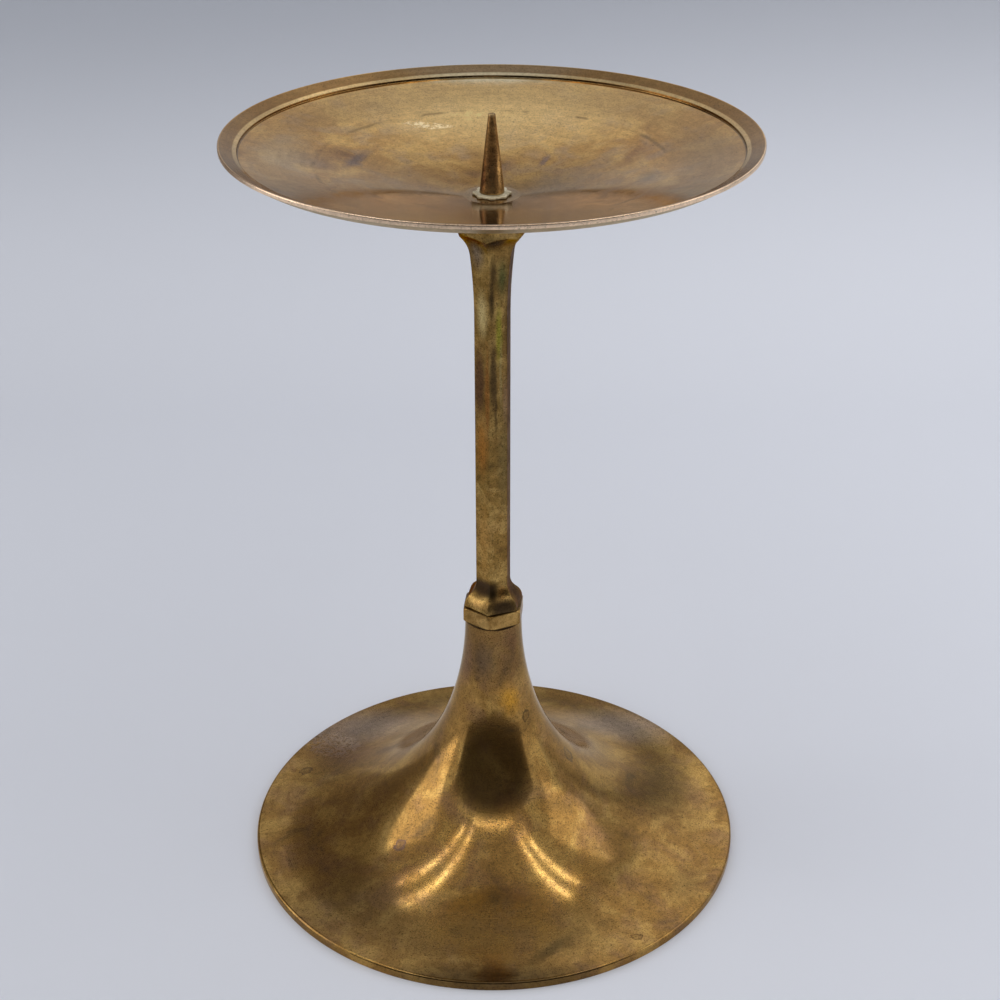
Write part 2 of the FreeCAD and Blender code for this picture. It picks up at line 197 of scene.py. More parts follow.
@dataclass(frozen=True)
class Outline:
    """Half a section of a turned piece: radii and heights, with worn corners.

    Corners that bend by more than `sharp` degrees are rounded by `wear`, and a cut
    takes at most the share `longest_cut` of a run. Points lie `step` millimetres
    or, in a bend, `arc_step` radians apart. Long straight runs get a point
    `edge_step` from each end so that they shade flat.
    """

    corners: Sequence[Corner]
    wear: float
    step: float = 2.0
    edge_step: float = 0.3
    arc_step: float = 0.2
    sharp: float = 18.0
    longest_cut: float = 0.45

    def _run(self, start: Corner, end: Corner) -> list[np.ndarray]:
        """Divides the way from one corner to the next.

        Args:
            start: the corner that the run leaves.
            end: the corner that it reaches.

        Returns:
            The points of the run, with both corners.
        """
        a = np.array([start.radius, start.height])
        b = np.array([end.radius, end.height])
        length = float(np.linalg.norm(b - a))
        if start.turn is Turn.STRAIGHT:
            inner = max(int(length / self.step), 1)
            shares = set(np.linspace(0.0, 1.0, inner + 1).tolist())
            if length > 3.0 * self.edge_step:
                near = self.edge_step / length
                shares |= {near, 1.0 - near}
            return [a + (b - a) * s for s in sorted(shares)]
        chord = b - a
        away = math.sqrt(max(start.arc ** 2 - (length / 2.0) ** 2, 0.0))
        side = np.array([-chord[1], chord[0]]) / length * start.turn.value
        centre = a + chord / 2.0 + side * away
        first = math.atan2(a[1] - centre[1], a[0] - centre[0])
        last = math.atan2(b[1] - centre[1], b[0] - centre[0])
        sweep = (last - first + math.pi) % (2.0 * math.pi) - math.pi
        count = max(int(abs(sweep) * start.arc / self.step),
                    int(abs(sweep) / self.arc_step), 3)
        angles = first + sweep * np.linspace(0.0, 1.0, count + 1)
        return [centre + start.arc * np.array([math.cos(t), math.sin(t)]) for t in angles]

    def points(self) -> np.ndarray:
        """Goes once round the outline and wears its corners.

        Returns:
            One row of (radius, height) for each point, in millimetres.
        """
        corners = list(self.corners)
        rows: list[np.ndarray] = []
        for start, end in zip(corners, corners[1:] + corners[:1]):
            rows.extend(self._run(start, end)[:-1])
        return self._worn(np.array(rows))

    def _worn(self, rows: np.ndarray) -> np.ndarray:
        """Rounds each sharp corner by the wear radius.

        Args:
            rows: one row of (radius, height) for each point.

        Returns:
            The rows, with five points in place of each sharp corner.
        """
        out: list[np.ndarray] = []
        for i, here in enumerate(rows):
            before = rows[i - 1] - here
            after = rows[(i + 1) % len(rows)] - here
            back, ahead = np.linalg.norm(before), np.linalg.norm(after)
            cosine = float(np.dot(before, after) / (back * ahead))
            bend = math.pi - math.acos(max(-1.0, min(1.0, cosine)))
            if bend < math.radians(self.sharp):
                out.append(here)
                continue
            cut = min(self.wear * math.tan(bend / 2.0), back * self.longest_cut,
                      ahead * self.longest_cut)
            start = here + before / back * cut
            end = here + after / ahead * cut
            for s in (0.0, 0.25, 0.5, 0.75, 1.0):
                out.append((1 - s) ** 2 * start + 2 * s * (1 - s) * here + s * s * end)
        return np.array(out)


def outward(mesh: bpy.types.Mesh) -> bpy.types.Mesh:
    """Merges doubles and points every face of a closed mesh outwards.

    Args:
        mesh: the closed mesh to put right.

    Returns:
        The same mesh, smooth shaded.
    """
    skin = bmesh.new()
    skin.from_mesh(mesh)
    bmesh.ops.remove_doubles(skin, verts=skin.verts, dist=SAME_VERTEX)
    bmesh.ops.dissolve_degenerate(skin, edges=skin.edges, dist=NO_EDGE)
    bmesh.ops.recalc_face_normals(skin, faces=skin.faces)
    if skin.calc_volume(signed=True) < 0.0:
        bmesh.ops.reverse_faces(skin, faces=skin.faces)
    skin.to_mesh(mesh)
    skin.free()
    mesh.shade_smooth()
    return mesh


def fan(half: float, count: int, near: Sequence[float]) -> np.ndarray:
    """Spreads the angles of one facet, closer together beside its two edges.

    Args:
        half: half the facet's angle, in radians.
        count: how many even angles there are.
        near: how far from each edge the extra angles lie, in degrees.

    Returns:
        The angles from one edge to the other, in radians.
    """
    extra = half - np.radians(near)
    return np.unique(np.concatenate([np.linspace(-half, half, count), extra, -extra]))


Ring = tuple[Union[float, np.ndarray], float]


def sector_mesh(name: str, angles: np.ndarray, rings: Sequence[Ring], lift: float,
                loop: bool) -> bpy.types.Mesh:
    """Joins rings of points into a skin over one sector of a piece.

    Args:
        name: name of the new mesh.
        angles: the angle of each point of a ring, in radians.
        rings: for each ring its radius or radii and its height, in millimetres.
        lift: height of the rings' zero above the floor, in millimetres.
        loop: whether the last ring joins the first one, as round a bore.

    Returns:
        The mesh in metres.
    """
    cos, sin = np.cos(angles), np.sin(angles)
    points = [np.column_stack([r * cos, r * sin, np.full(len(angles), lift + z)])
              for r, z in rings]
    columns = len(angles)
    faces = []
    last = len(rings) if loop else len(rings) - 1
    for i in range(last):
        low, high = i * columns, (i + 1) % len(rings) * columns
        faces += [(low + k, low + k + 1, high + k + 1, high + k) for k in range(columns - 1)]
    mesh = bpy.data.meshes.new(name)
    mesh.from_pydata((np.vstack(points) * MM).tolist(), [], faces)
    return mesh


# Geometry Nodes trees


class NodeTool(NodeSheet):
    """A Geometry Nodes tree with named inputs that turns a sketch into a piece."""

    name = "tool"
    sizes: Sequence[tuple[str, str]] = ()

    def __init__(self) -> None:
        """Makes the tree and its sockets, then wires it."""
        super().__init__(bpy.data.node_groups.new(self.name, "GeometryNodeTree"))
        face = self.tree.interface
        self.ids: dict[str, str] = {}
        for label, kind in (("Geometry", "NodeSocketGeometry"), *self.sizes,
                            ("Finish", "NodeSocketMaterial")):
            self.ids[label] = face.new_socket(label, in_out="INPUT", socket_type=kind).identifier
        face.new_socket("Geometry", in_out="OUTPUT", socket_type="NodeSocketGeometry")
        self.given = self.tree.nodes.new("NodeGroupInput").outputs
        self.end(self.wire())

    def wire(self) -> Value:
        """Builds the shape and hands back its geometry socket."""
        raise NotImplementedError

    def end(self, shape: Value) -> None:
        """Ends the tree: real geometry, smooth shading and the piece's finish.

        Args:
            shape: the geometry socket of the shape.
        """
        whole = self.add("GeometryNodeRealizeInstances", (shape,))
        merged = self.add("GeometryNodeMergeByDistance", {
            "Geometry": whole, "Distance": SAME_POINT})
        smooth = self.add("GeometryNodeSetShadeSmooth", {"Geometry": merged})
        dressed = self.add("GeometryNodeSetMaterial", {
            "Geometry": smooth, "Material": self.given["Finish"]})
        self.add("NodeGroupOutput", (dressed,))

    def run(self, name: str, sketch: bpy.types.Mesh, finish: bpy.types.Material,
            **sizes: float) -> bpy.types.Object:
        """Runs the tree on a sketch and keeps the result as a plain mesh.

        Args:
            name: name of the new piece.
            sketch: the mesh that the tree starts from.
            finish: the material of the piece.
            **sizes: the tree's named inputs, with underscores for spaces.

        Returns:
            The finished piece, with no modifier left on it.
        """
        piece = bpy.data.objects.new(name, sketch)
        bpy.context.scene.collection.objects.link(piece)
        modifier = piece.modifiers.new(self.name, "NODES")
        modifier.node_group = self.tree
        for key, value in sizes.items():
            modifier[self.ids[key.replace("_", " ")]] = value
        modifier[self.ids["Finish"]] = finish
        graph = bpy.context.evaluated_depsgraph_get()
        mesh = bpy.data.meshes.new_from_object(piece.evaluated_get(graph))
        mesh.name = name
        piece.modifiers.clear()
        piece.data = mesh
        outward(mesh)
        return piece


class TurningLathe(NodeTool):
    """Turns an outline round the stand's axis and leaves faint hand-worn hollows."""

    name = "turning lathe"
    sizes = (("Steps Round", "NodeSocketInt"), ("Path Radius", "NodeSocketFloat"),
             ("Dent Depth", "NodeSocketFloat"), ("Dent Width", "NodeSocketFloat"))
    steps = 240
    dent_width = 12.0

    def wire(self) -> Value:
        """Sweeps the outline along a circle, then sinks it where it is worn.

        Returns:
            The geometry socket of the turned shape.
        """
        outline = self.add("GeometryNodeMeshToCurve", {"Mesh": self.given["Geometry"]})
        circle = self.add("GeometryNodeCurvePrimitiveCircle", {
            "Resolution": self.given["Steps Round"], "Radius": self.given["Path Radius"]})
        skin = self.add("GeometryNodeCurveToMesh", {"Curve": circle, "Profile Curve": outline})
        whole = self.add("GeometryNodeMergeByDistance", {
            "Geometry": skin, "Distance": SAME_POINT})
        scale = self.add(MATH, (1.0, self.given["Dent Width"]), operation="DIVIDE")
        hollow = self.add(NOISE, {"Scale": scale, "Detail": 1.0})
        depth = self.add(MATH, (hollow, self.given["Dent Depth"]), operation="MULTIPLY")
        normal = self.add("GeometryNodeInputNormal")
        outward_way = self.add(VECTOR, {0: normal, "Scale": depth}, operation="SCALE")
        inward_way = self.add(VECTOR, (outward_way, (-1.0, -1.0, -1.0)), operation="MULTIPLY")
        return self.add("GeometryNodeSetPosition", {"Geometry": whole, "Offset": inward_way})

    def turn(self, name: str, outline: Outline, finish: bpy.types.Material, lift: float,
             dent: float) -> bpy.types.Object:
        """Turns one outline into a piece.

        Args:
            name: name of the piece.
            outline: its half section.
            finish: its material.
            lift: height of the outline's zero above the floor, in millimetres.
            dent: depth of the worn hollows, in millimetres.

        Returns:
            The piece in its place.
        """
        rows = outline.points()[::-1] * MM
        path = float(rows[:, 0].max())
        edges = [(i, (i + 1) % len(rows)) for i in range(len(rows))]
        sketch = bpy.data.meshes.new(name)
        sketch.from_pydata([(r - path, -(z + lift * MM), 0.0) for r, z in rows], edges, [])
        return self.run(name, sketch, finish, Steps_Round=self.steps, Path_Radius=path,
                        Dent_Depth=dent * MM, Dent_Width=self.dent_width * MM)


class RoundCopies(NodeTool):
    """Repeats one sector round the axis until it closes, as facets and petals do."""

    name = "round copies"
    sizes = (("Count", "NodeSocketInt"), ("First Angle", "NodeSocketFloat"))

    def wire(self) -> Value:
        """Puts a copy of the sector at each step round the axis.

        Returns:
            The geometry socket of the ring of copies.
        """
        places = self.add("GeometryNodeMeshLine", {
            "Count": self.given["Count"], "Offset": (0.0, 0.0, 0.0)})
        share = self.add(MATH, (2.0 * math.pi, self.given["Count"]), operation="DIVIDE")
        number = self.add("GeometryNodeInputIndex")
        angle = self.add(MATH, (number, share, self.given["First Angle"]),
                         operation="MULTIPLY_ADD")
        turn = self.add("ShaderNodeCombineXYZ", {"Z": angle})
        return self.add("GeometryNodeInstanceOnPoints", {
            "Points": places, "Instance": self.given["Geometry"], "Rotation": turn})


# Finishes


@dataclass(frozen=True)
class Mark:
    """One mark, of patina or of painted shade, highlight or reflection: its place and size in
    millimetres, and its look.

    `turn` turns it round the upright, in degrees. `roughness` is what it adds to the
    metal's own, and `cover` how much of the metal loose oxide hides there.
    """

    place: tuple[float, float, float]
    size: tuple[float, float, float]
    colour: str
    strength: float
    turn: float = 0.0
    shape: MarkShape = MarkShape.PATCH
    roughness: float = 0.0
    cover: float = 0.0


@dataclass(frozen=True)
class Zone:
    """A band of the surface between two radii or two heights, in millimetres.

    Its edges are `soft` millimetres wide, and `broken` says how much of it is gone.
    """

    low: float
    high: float
    soft: float
    colour: str
    strength: float
    by_height: bool = False
    broken: float = 0.0
    roughness: float = 0.0


class Brush(NodeSheet):
    """Draws one material in the piece's own millimetres."""

    # Width of the bends of a frayed edge, of the gaps in a broken zone and of the
    # crumbs that a fleck is made of, and the noise at which a crumb starts and is full
    fray_size = 7.0
    gap_size = 11.0
    gap_full = 0.62
    crumb_size = 1.6
    crumb = (0.45, 0.53)
    # Noise below the first of these is rubbed bare, and above the second soiled
    wear = (0.33, 0.67)
    # How far from its middle a mark starts and how far out it is full, as shares of
    # its size: a soft patch, a streak and a fleck; then a dried drop's pale inside
    # and the two sides of its dark rim
    patch = (1.0, 0.1)
    streak = (1.0, 0.3)
    fleck = (1.0, 0.6)
    drop = (1.0, 0.8, 0.0, 0.45)
    rim_inside = (0.55, 0.9)
    rim_outside = (1.15, 0.95)

    def __init__(self, name: str) -> None:
        """Starts a material with the object's place, radius and height at hand.

        Args:
            name: the material's name, which says what it is and how it was made.
        """
        self.material = bpy.data.materials.new(name)
        self.material.use_nodes = True
        super().__init__(self.material.node_tree)
        self.tree.nodes.clear()
        place = self.add("ShaderNodeTexCoord", out="Object")
        self.place = self.add(VECTOR, {0: place, "Scale": 1.0 / MM}, operation="SCALE")
        self.height = self.add("ShaderNodeSeparateXYZ", (self.place,), out=2)
        self.flat = self.add(VECTOR, (self.place, (1.0, 1.0, 0.0)), operation="MULTIPLY")
        self.radius = self.add(VECTOR, (self.flat,), out="Value", operation="LENGTH")

    def cloud(self, size: float, detail: float = 3.0, rough: float = 0.55, warp: float = 0.0,
              shift: float = 0.0, stretch: tuple[float, float, float] = (1.0, 1.0, 1.0)) -> Value:
        """Cloudy noise from 0 to 1 whose blobs are about `size` millimetres wide.

        Args:
            size: width of one cloud in millimetres.
            detail: how many finer octaves lie on it.
            rough: how strong those are.
            warp: how far it is drawn out of shape.
            shift: moves the pattern, so that two clouds differ.
            stretch: makes the clouds longer along an axis, where it is above one.

        Returns:
            The noise socket.
        """
        fit = tuple(1.0 / (size * s) for s in stretch)
        spot = self.add("ShaderNodeMapping", {
            "Vector": self.place, "Scale": fit, "Location": (shift, shift * 0.7, -shift)})
        return self.add(NOISE, {
            "Vector": spot, "Scale": 1.0, "Detail": detail, "Roughness": rough,
            "Distortion": warp})

    def arcs(self, width: float, turns: float) -> Value:
        """Noise drawn out round the axis, as a cloth or a tool leaves it.

        Args:
            width: width of one arc in millimetres.
            turns: how often the arcs change on their way round.

        Returns:
            The noise socket, from 0 to 1.
        """
        way = self.add(VECTOR, (self.flat,), operation="NORMALIZE")
        round_way = self.add(VECTOR, {0: way, "Scale": turns}, operation="SCALE")
        row = self.add(MATH, (self.radius, width), operation="DIVIDE")
        out_way = self.add("ShaderNodeCombineXYZ", {"Z": row})
        spot = self.add(VECTOR, (round_way, out_way), operation="ADD")
        return self.add(NOISE, {"Vector": spot, "Scale": 1.0, "Detail": 4.0, "Roughness": 0.65})

    def wandering(self, size: float, reach: float) -> Value:
        """The place in millimetres, pulled about so that no stain has a round edge.

        Args:
            size: width of one bend of an edge, in millimetres.
            reach: how far an edge is pulled, in millimetres.

        Returns:
            The socket of the place.
        """
        warp = self.add(NOISE, {
            "Vector": self.place, "Scale": 1.0 / size, "Detail": 3.0, "Roughness": 0.6}, out=1)
        pull = self.add(VECTOR, (warp, (0.5, 0.5, 0.5)), operation="SUBTRACT")
        return self.add(VECTOR, (pull, (reach,) * 3, self.place), operation="MULTIPLY_ADD")

    def worn(self, colour: Value, pattern: Value, rubbed: float, soiled: float) -> Value:
        """Makes a colour paler where a pattern is low and darker where it is high.

        Args:
            colour: the colour so far.
            pattern: noise from 0 to 1.
            rubbed: how much paler the rubbed spots get, as a share.
            soiled: how much darker the soiled spots get, as a share.

        Returns:
            The colour socket.
        """
        factor = self.add(RANGE, (pattern, *self.wear, 1.0 + rubbed, 1.0 - soiled), **SMOOTH)
        return self.add(VECTOR, {0: colour, "Scale": factor}, operation="SCALE")

    def zone(self, zone: Zone) -> Value:
        """Finds the share of a zone at each point, with a frayed edge if it is broken.

        Args:
            zone: the band and how broken it is.

        Returns:
            The share from 0 to the zone's strength.
        """
        along = self.height if zone.by_height else self.radius
        if zone.broken:
            fray = self.cloud(self.fray_size, 4.0, 0.6, shift=zone.low)
            off = self.add(MATH, (fray, 0.5), operation="SUBTRACT")
            along = self.add(MATH, (off, 2.0 * zone.soft, along), operation="MULTIPLY_ADD")
        rise = self.add(RANGE, (along, zone.low - zone.soft, zone.low + zone.soft), **SMOOTH)
        fall = self.add(RANGE, (along, zone.high - zone.soft, zone.high + zone.soft, 1.0, 0.0),
                        **SMOOTH)
        band = self.add(MATH, (rise, fall), operation="MULTIPLY")
        share = self.add(MATH, (band, zone.strength), operation="MULTIPLY")
        if zone.broken:
            gaps = self.add(RANGE, (self.cloud(self.gap_size, 3.0, 0.6, shift=zone.high),
                                    0.15 + 0.35 * zone.broken, self.gap_full), **SMOOTH)
            share = self.add(MATH, (share, gaps), operation="MULTIPLY")
        return share

    def mark(self, mark: Mark, warped: Value) -> Value:
        """Finds the share of one mark at each point.

        Args:
            mark: the mark.
            warped: the place in millimetres, pulled about so that no edge is round.

        Returns:
            The share from 0 to the mark's strength.
        """
        away = self.add(VECTOR, (warped, mark.place), operation="SUBTRACT")
        turned = self.add("ShaderNodeVectorRotate", {
            "Vector": away, "Angle": -math.radians(mark.turn)}, rotation_type="Z_AXIS")
        fitted = self.add(VECTOR, (turned, tuple(1.0 / s for s in mark.size)),
                          operation="MULTIPLY")
        far = self.add(VECTOR, (fitted,), out="Value", operation="LENGTH")
        if mark.shape is MarkShape.RING:
            inside = self.add(RANGE, (far, *self.drop), **SMOOTH)
            inner = self.add(RANGE, (far, *self.rim_inside), **SMOOTH)
            outer = self.add(RANGE, (far, *self.rim_outside), **SMOOTH)
            rim = self.add(MATH, (inner, outer), operation="MULTIPLY")
            share = self.add(MATH, (inside, rim), operation="MAXIMUM")
        elif mark.shape is MarkShape.FLECK:
            crumbs = self.add(RANGE, (self.cloud(self.crumb_size, 3.0, 0.7, shift=3.0),
                                      *self.crumb), **SMOOTH)
            spot = self.add(RANGE, (far, *self.fleck), **SMOOTH)
            share = self.add(MATH, (spot, crumbs), operation="MULTIPLY")
        else:
            reach = self.streak if mark.shape is MarkShape.STREAK else self.patch
            share = self.add(RANGE, (far, *reach), **SMOOTH)
        return self.add(MATH, (share, mark.strength), operation="MULTIPLY")


@dataclass
class Coat:
    """What the layers of a finish add up to: colour, gloss, relief and loose oxide."""

    brush: Brush
    colour: Value
    rough: Value
    height: Value
    oxide: Value

    def lay(self, colour: str, share: Value) -> None:
        """Lays a colour over what is there.

        Args:
            colour: the sRGB hex colour of the layer.
            share: how much of it covers each point, from 0 to 1.
        """
        self.colour = self.brush.add(MIX, {
            SHARE: share, UNDER: self.colour, OVER: linear(colour)}, **COLOURS)

    def dull(self, share: Value, amount: float) -> None:
        """Makes the surface rougher.

        Args:
            share: how much of the layer covers each point, from 0 to 1.
            amount: roughness that a full share adds.
        """
        self.rough = self.brush.add(MATH, (share, amount, self.rough),
                                    operation="MULTIPLY_ADD")

    def raise_up(self, share: Value, amount: float) -> None:
        """Builds the surface up, or sinks it where the amount is below zero.

        Args:
            share: how much of the layer covers each point, from 0 to 1.
            amount: height that a full share adds, as a share of the relief.
        """
        self.height = self.brush.add(MATH, (share, amount, self.height),
                                     operation="MULTIPLY_ADD")

    def corrode(self, share: Value) -> None:
        """Covers the metal with loose oxide, where there is more than so far."""
        self.oxide = self.brush.add(MATH, (self.oxide, share), operation="MAXIMUM")


@dataclass(frozen=True)
class AgedBrass:
    """Bare brass, turned or milled and never lacquered, with years of tarnish.

    The oxide film gives clouds from gold to brown, dulls the gloss unevenly, and
    holds pin pricks, dried drops and rubbed streaks. Some of the marks and zones
    are painted shade, painted highlights and painted reflections instead. Pattern
    sizes are in millimetres.

    `bright`, `middle` and `dark` are the film's colours from thin to thick, in clouds
    `cloud` wide, and a blush of `tint` covers the share `tinted`. `gloss` is the
    roughness under thin and under thick film. `fine`, `grit`, `arcs` and `specks`
    are the strengths of fine wear, of grit, of the arcs of a cloth and of pin
    pricks. `wander` is how far the edges of marks stray, and `oxide` the share of
    the metal that oxide hides. Where an underside colour is given, it is painted
    shade on the faces that look down, and `edge` tints what the metal mirrors at a
    low angle.
    """

    name: str
    bright: str
    middle: str
    dark: str
    cloud: float
    gloss: tuple[float, float]
    specks: float
    fine: float
    grit: float
    tint: str
    tinted: float
    grain: Grain = Grain.TURNED
    wander: float = 3.2
    arcs: float = 0.0
    oxide: float = 0.0
    underside_shade: str = ""
    edge: str = "#FFFFFF"
    zones: Sequence[Zone] = ()
    marks: Sequence[Mark] = ()
    soot: str = "#2A1E10"
    pit: str = "#241A10"
    mottle_size: float = 1.9
    stain_bend: float = 2.6
    arc_width: float = 1.3
    arc_turns: float = 2.2
    # Grit is about 0.1 mm wide and a tool's lines lie about 0.1 mm apart, which is
    # too fine to show, so they are drawn 0.45 and 0.4 mm wide.
    grit_size: float = 0.45
    line_gap: float = 0.4
    pit_gap: float = 1.7
    pit_group: float = 4.5
    relief: float = 0.03
    # The noise at which a layer starts and at which it is full
    browned: tuple[float, float] = (0.36, 0.56)
    darkened: tuple[float, float] = (0.54, 0.78)
    blushed: tuple[float, float] = (0.45, 0.7)
    dulled: tuple[float, float] = (0.3, 0.75)
    sooted: tuple[float, float] = (0.54, 0.7)
    grouped: tuple[float, float] = (0.5, 0.6)
    # How far from its middle a pit starts and is full, and how far down a face looks
    pitted: tuple[float, float] = (0.16, 0.06)
    downward: tuple[float, float] = (-0.4, -0.8)

    def make(self) -> bpy.types.Material:
        """Builds the material, layer upon layer.

        Returns:
            The finished material.
        """
        brush = Brush(self.name)
        warped = brush.wandering(self.stain_bend, self.wander)
        coat, mottle = self.film(brush)
        self.stain(coat, warped)
        # Painted shade on the faces that look down
        if self.underside_shade:
            self.paint_shade_below(coat)
        self.wear(coat, mottle)
        self.pock(coat)
        self.tool(coat)
        bump = brush.add("ShaderNodeBump", {
            "Strength": 0.35, "Distance": self.relief * MM, "Height": coat.height})
        shell = {"Base Color": coat.colour, "Roughness": coat.rough, "Normal": bump,
                 "Specular Tint": linear(self.edge)}
        if isinstance(coat.oxide, bpy.types.NodeSocket):
            shell["Metallic"] = brush.add(MATH, (1.0, coat.oxide), operation="SUBTRACT")
        else:
            shell["Metallic"] = 1.0 - coat.oxide
        surface = brush.add("ShaderNodeBsdfPrincipled", shell)
        brush.add("ShaderNodeOutputMaterial", {"Surface": surface})
        return brush.material

    def film(self, brush: Brush) -> tuple[Coat, Value]:
        """Lays the oxide film: clouds from gold to brown, with a copper blush.

        Args:
            brush: what draws the material.

        Returns:
            The coat so far, and the fine mottle that the wear follows.
        """
        tarnish = brush.cloud(self.cloud, 5.0, 0.6, 0.6)
        browned = brush.add(RANGE, (tarnish, *self.browned), **SMOOTH)
        colour = brush.add(MIX, {SHARE: browned, UNDER: linear(self.bright),
                                 OVER: linear(self.middle)}, **COLOURS)
        coat = Coat(brush, colour, 0.0, 0.0, self.oxide)
        coat.lay(self.dark, brush.add(RANGE, (tarnish, *self.darkened), **SMOOTH))
        blush = brush.add(RANGE, (brush.cloud(self.cloud * 0.8, 4.0, 0.6, 0.4, 11.0),
                                  *self.blushed), **SMOOTH)
        coat.lay(self.tint, brush.add(MATH, (blush, self.tinted), operation="MULTIPLY"))
        mottle = brush.cloud(self.mottle_size, 4.0, 0.65, 0.3, 5.0)
        coat.rough = brush.add(RANGE, (tarnish, *self.dulled, *self.gloss), **SMOOTH)
        coat.dull(brush.add(MATH, (mottle, 0.5), operation="SUBTRACT"), 0.12)
        coat.height = brush.add(MATH, (mottle, 0.25), operation="MULTIPLY")
        return coat, mottle

    def stain(self, coat: Coat, warped: Value) -> None:
        """Adds the single marks, then the zones.

        Args:
            coat: the coat so far.
            warped: the place in millimetres, pulled about.
        """
        brush = coat.brush
        for mark in self.marks:
            share = brush.mark(mark, warped)
            coat.lay(mark.colour, share)
            coat.dull(share, mark.roughness)
            if mark.shape is MarkShape.FLECK:
                coat.corrode(share)
                coat.raise_up(share, 4.0)
            elif mark.cover:
                coat.corrode(brush.add(MATH, (share, mark.cover), operation="MULTIPLY"))
        for zone in self.zones:
            share = brush.zone(zone)
            coat.lay(zone.colour, share)
            coat.dull(share, zone.roughness)

    def paint_shade_below(self, coat: Coat) -> None:
        """Paints shade on the faces that look down, and leaves them duller, as no cloth reaches
        them.

        Args:
            coat: the coat so far.
        """
        brush = coat.brush
        facing = brush.add("ShaderNodeNewGeometry", out="Normal")
        up = brush.add("ShaderNodeSeparateXYZ", (facing,), out=2)
        down = brush.add(RANGE, (up, *self.downward), **SMOOTH)
        coat.lay(self.underside_shade, brush.add(MATH, (down, 0.75), operation="MULTIPLY"))
        coat.dull(down, 0.18)

    def wear(self, coat: Coat, mottle: Value) -> None:
        """Rubs and soils the film: in fine clouds, in arcs and in grit.

        Args:
            coat: the coat so far.
            mottle: the fine clouds, from 0 to 1.
        """
        brush = coat.brush
        coat.colour = brush.worn(coat.colour, mottle, 0.45 * self.fine, 0.65 * self.fine)
        if self.arcs:
            arcs = brush.arcs(self.arc_width, self.arc_turns)
            coat.colour = brush.worn(coat.colour, arcs, self.arcs, 0.7 * self.arcs)
        speckle = brush.cloud(self.grit_size, 2.0, 0.6, 0.0, 23.0)
        sooty = brush.add(RANGE, (speckle, *self.sooted, 0.0, self.grit), **SMOOTH)
        coat.lay(self.soot, sooty)
        coat.colour = brush.worn(coat.colour, speckle, 0.45 * self.grit, 0.0)

    def pock(self, coat: Coat) -> None:
        """Adds groups of pin pricks, dark and a little sunk.

        Args:
            coat: the coat so far.
        """
        brush = coat.brush
        cells = brush.add("ShaderNodeTexVoronoi", {
            "Vector": brush.place, "Scale": 1.0 / self.pit_gap, "Randomness": 1.0})
        group = brush.add(RANGE, (brush.cloud(self.pit_group, 2.0, 0.5, shift=17.0),
                                  *self.grouped), **SMOOTH)
        dot = brush.add(RANGE, (cells, *self.pitted), **SMOOTH)
        prick = brush.add(MATH, (dot, group), operation="MULTIPLY")
        coat.lay(self.pit, brush.add(MATH, (prick, self.specks), operation="MULTIPLY"))
        coat.raise_up(prick, -1.0)

    def tool(self, coat: Coat) -> None:
        """Adds the fine lines that the tool left, round the axis or along it.

        Args:
            coat: the coat so far.
        """
        brush = coat.brush
        if self.grain is Grain.TURNED:
            along = brush.add(MATH, (brush.radius, brush.height), operation="SUBTRACT")
            lines = brush.add(NOISE, {"W": along, "Scale": 1.0 / self.line_gap, "Detail": 2.0},
                              noise_dimensions="1D")
        else:
            lines = brush.cloud(self.line_gap, 2.0, 0.5, stretch=(1.0, 1.0, 60.0))
        coat.raise_up(lines, 0.35)
        coat.dull(brush.add(MATH, (lines, 0.5), operation="SUBTRACT"), 0.1)


@dataclass(frozen=True)
class PlatedSteel:
    """Steel with a dull plated or oiled skin: grey, soft gloss, slightly grained.

    Its grain is `grain_size` millimetres wide and stands `relief` millimetres high.
    """

    name: str
    light: str
    dark: str
    gloss: tuple[float, float] = (0.32, 0.5)
    metallic: float = 1.0
    grain_size: float = 0.9
    relief: float = 0.02

    def make(self) -> bpy.types.Material:
        """Builds the material.

        Returns:
            The finished material.
        """
        brush = Brush(self.name)
        grain = brush.cloud(self.grain_size, 4.0, 0.6, 0.2)
        soil = brush.cloud(self.grain_size * 5.0, 3.0, 0.6, 0.4, 9.0)
        soiled = brush.add(RANGE, (soil, 0.4, 0.7), **SMOOTH)
        grained = brush.add(RANGE, (grain, 0.5, 0.72, 0.0, 0.6), **SMOOTH)
        colour = linear(self.light)
        for share in (soiled, grained):
            colour = brush.add(MIX, {SHARE: share, UNDER: colour, OVER: linear(self.dark)},
                               **COLOURS)
        bump = brush.add("ShaderNodeBump", {
            "Strength": 0.4, "Distance": self.relief * MM, "Height": grain})
        surface = brush.add("ShaderNodeBsdfPrincipled", {
            "Base Color": colour, "Metallic": self.metallic, "Normal": bump,
            "Roughness": brush.add(RANGE, (soil, 0.3, 0.7, *self.gloss), **SMOOTH)})
        brush.add("ShaderNodeOutputMaterial", {"Surface": surface})
        return brush.material


def keep(piece: bpy.types.Object, body: Body, node: str) -> bpy.types.Object:
    """Puts a finished piece in the stand in place of its construction solid.

    Args:
        piece: the finished piece.
        body: the body that it moves with.
        node: the solid that it stands for.

    Returns:
        The same piece.
    """
    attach(piece, body.value)
    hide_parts(node)
    paint(node, piece.data.materials[0])
    log.info("%s: %d faces on %s", piece.name, len(piece.data.polygons), body.value)
    return piece


def paint(node: str, finish: bpy.types.Material) -> None:
    """Gives a construction solid its finish.

    Args:
        node: the solid's name.
        finish: its material.
    """
    solid = frame["nodes"][node]
    if not solid.material_slots:
        solid.data.materials.append(finish)
    for slot in solid.material_slots:
        slot.material = finish


# The sub-assemblies


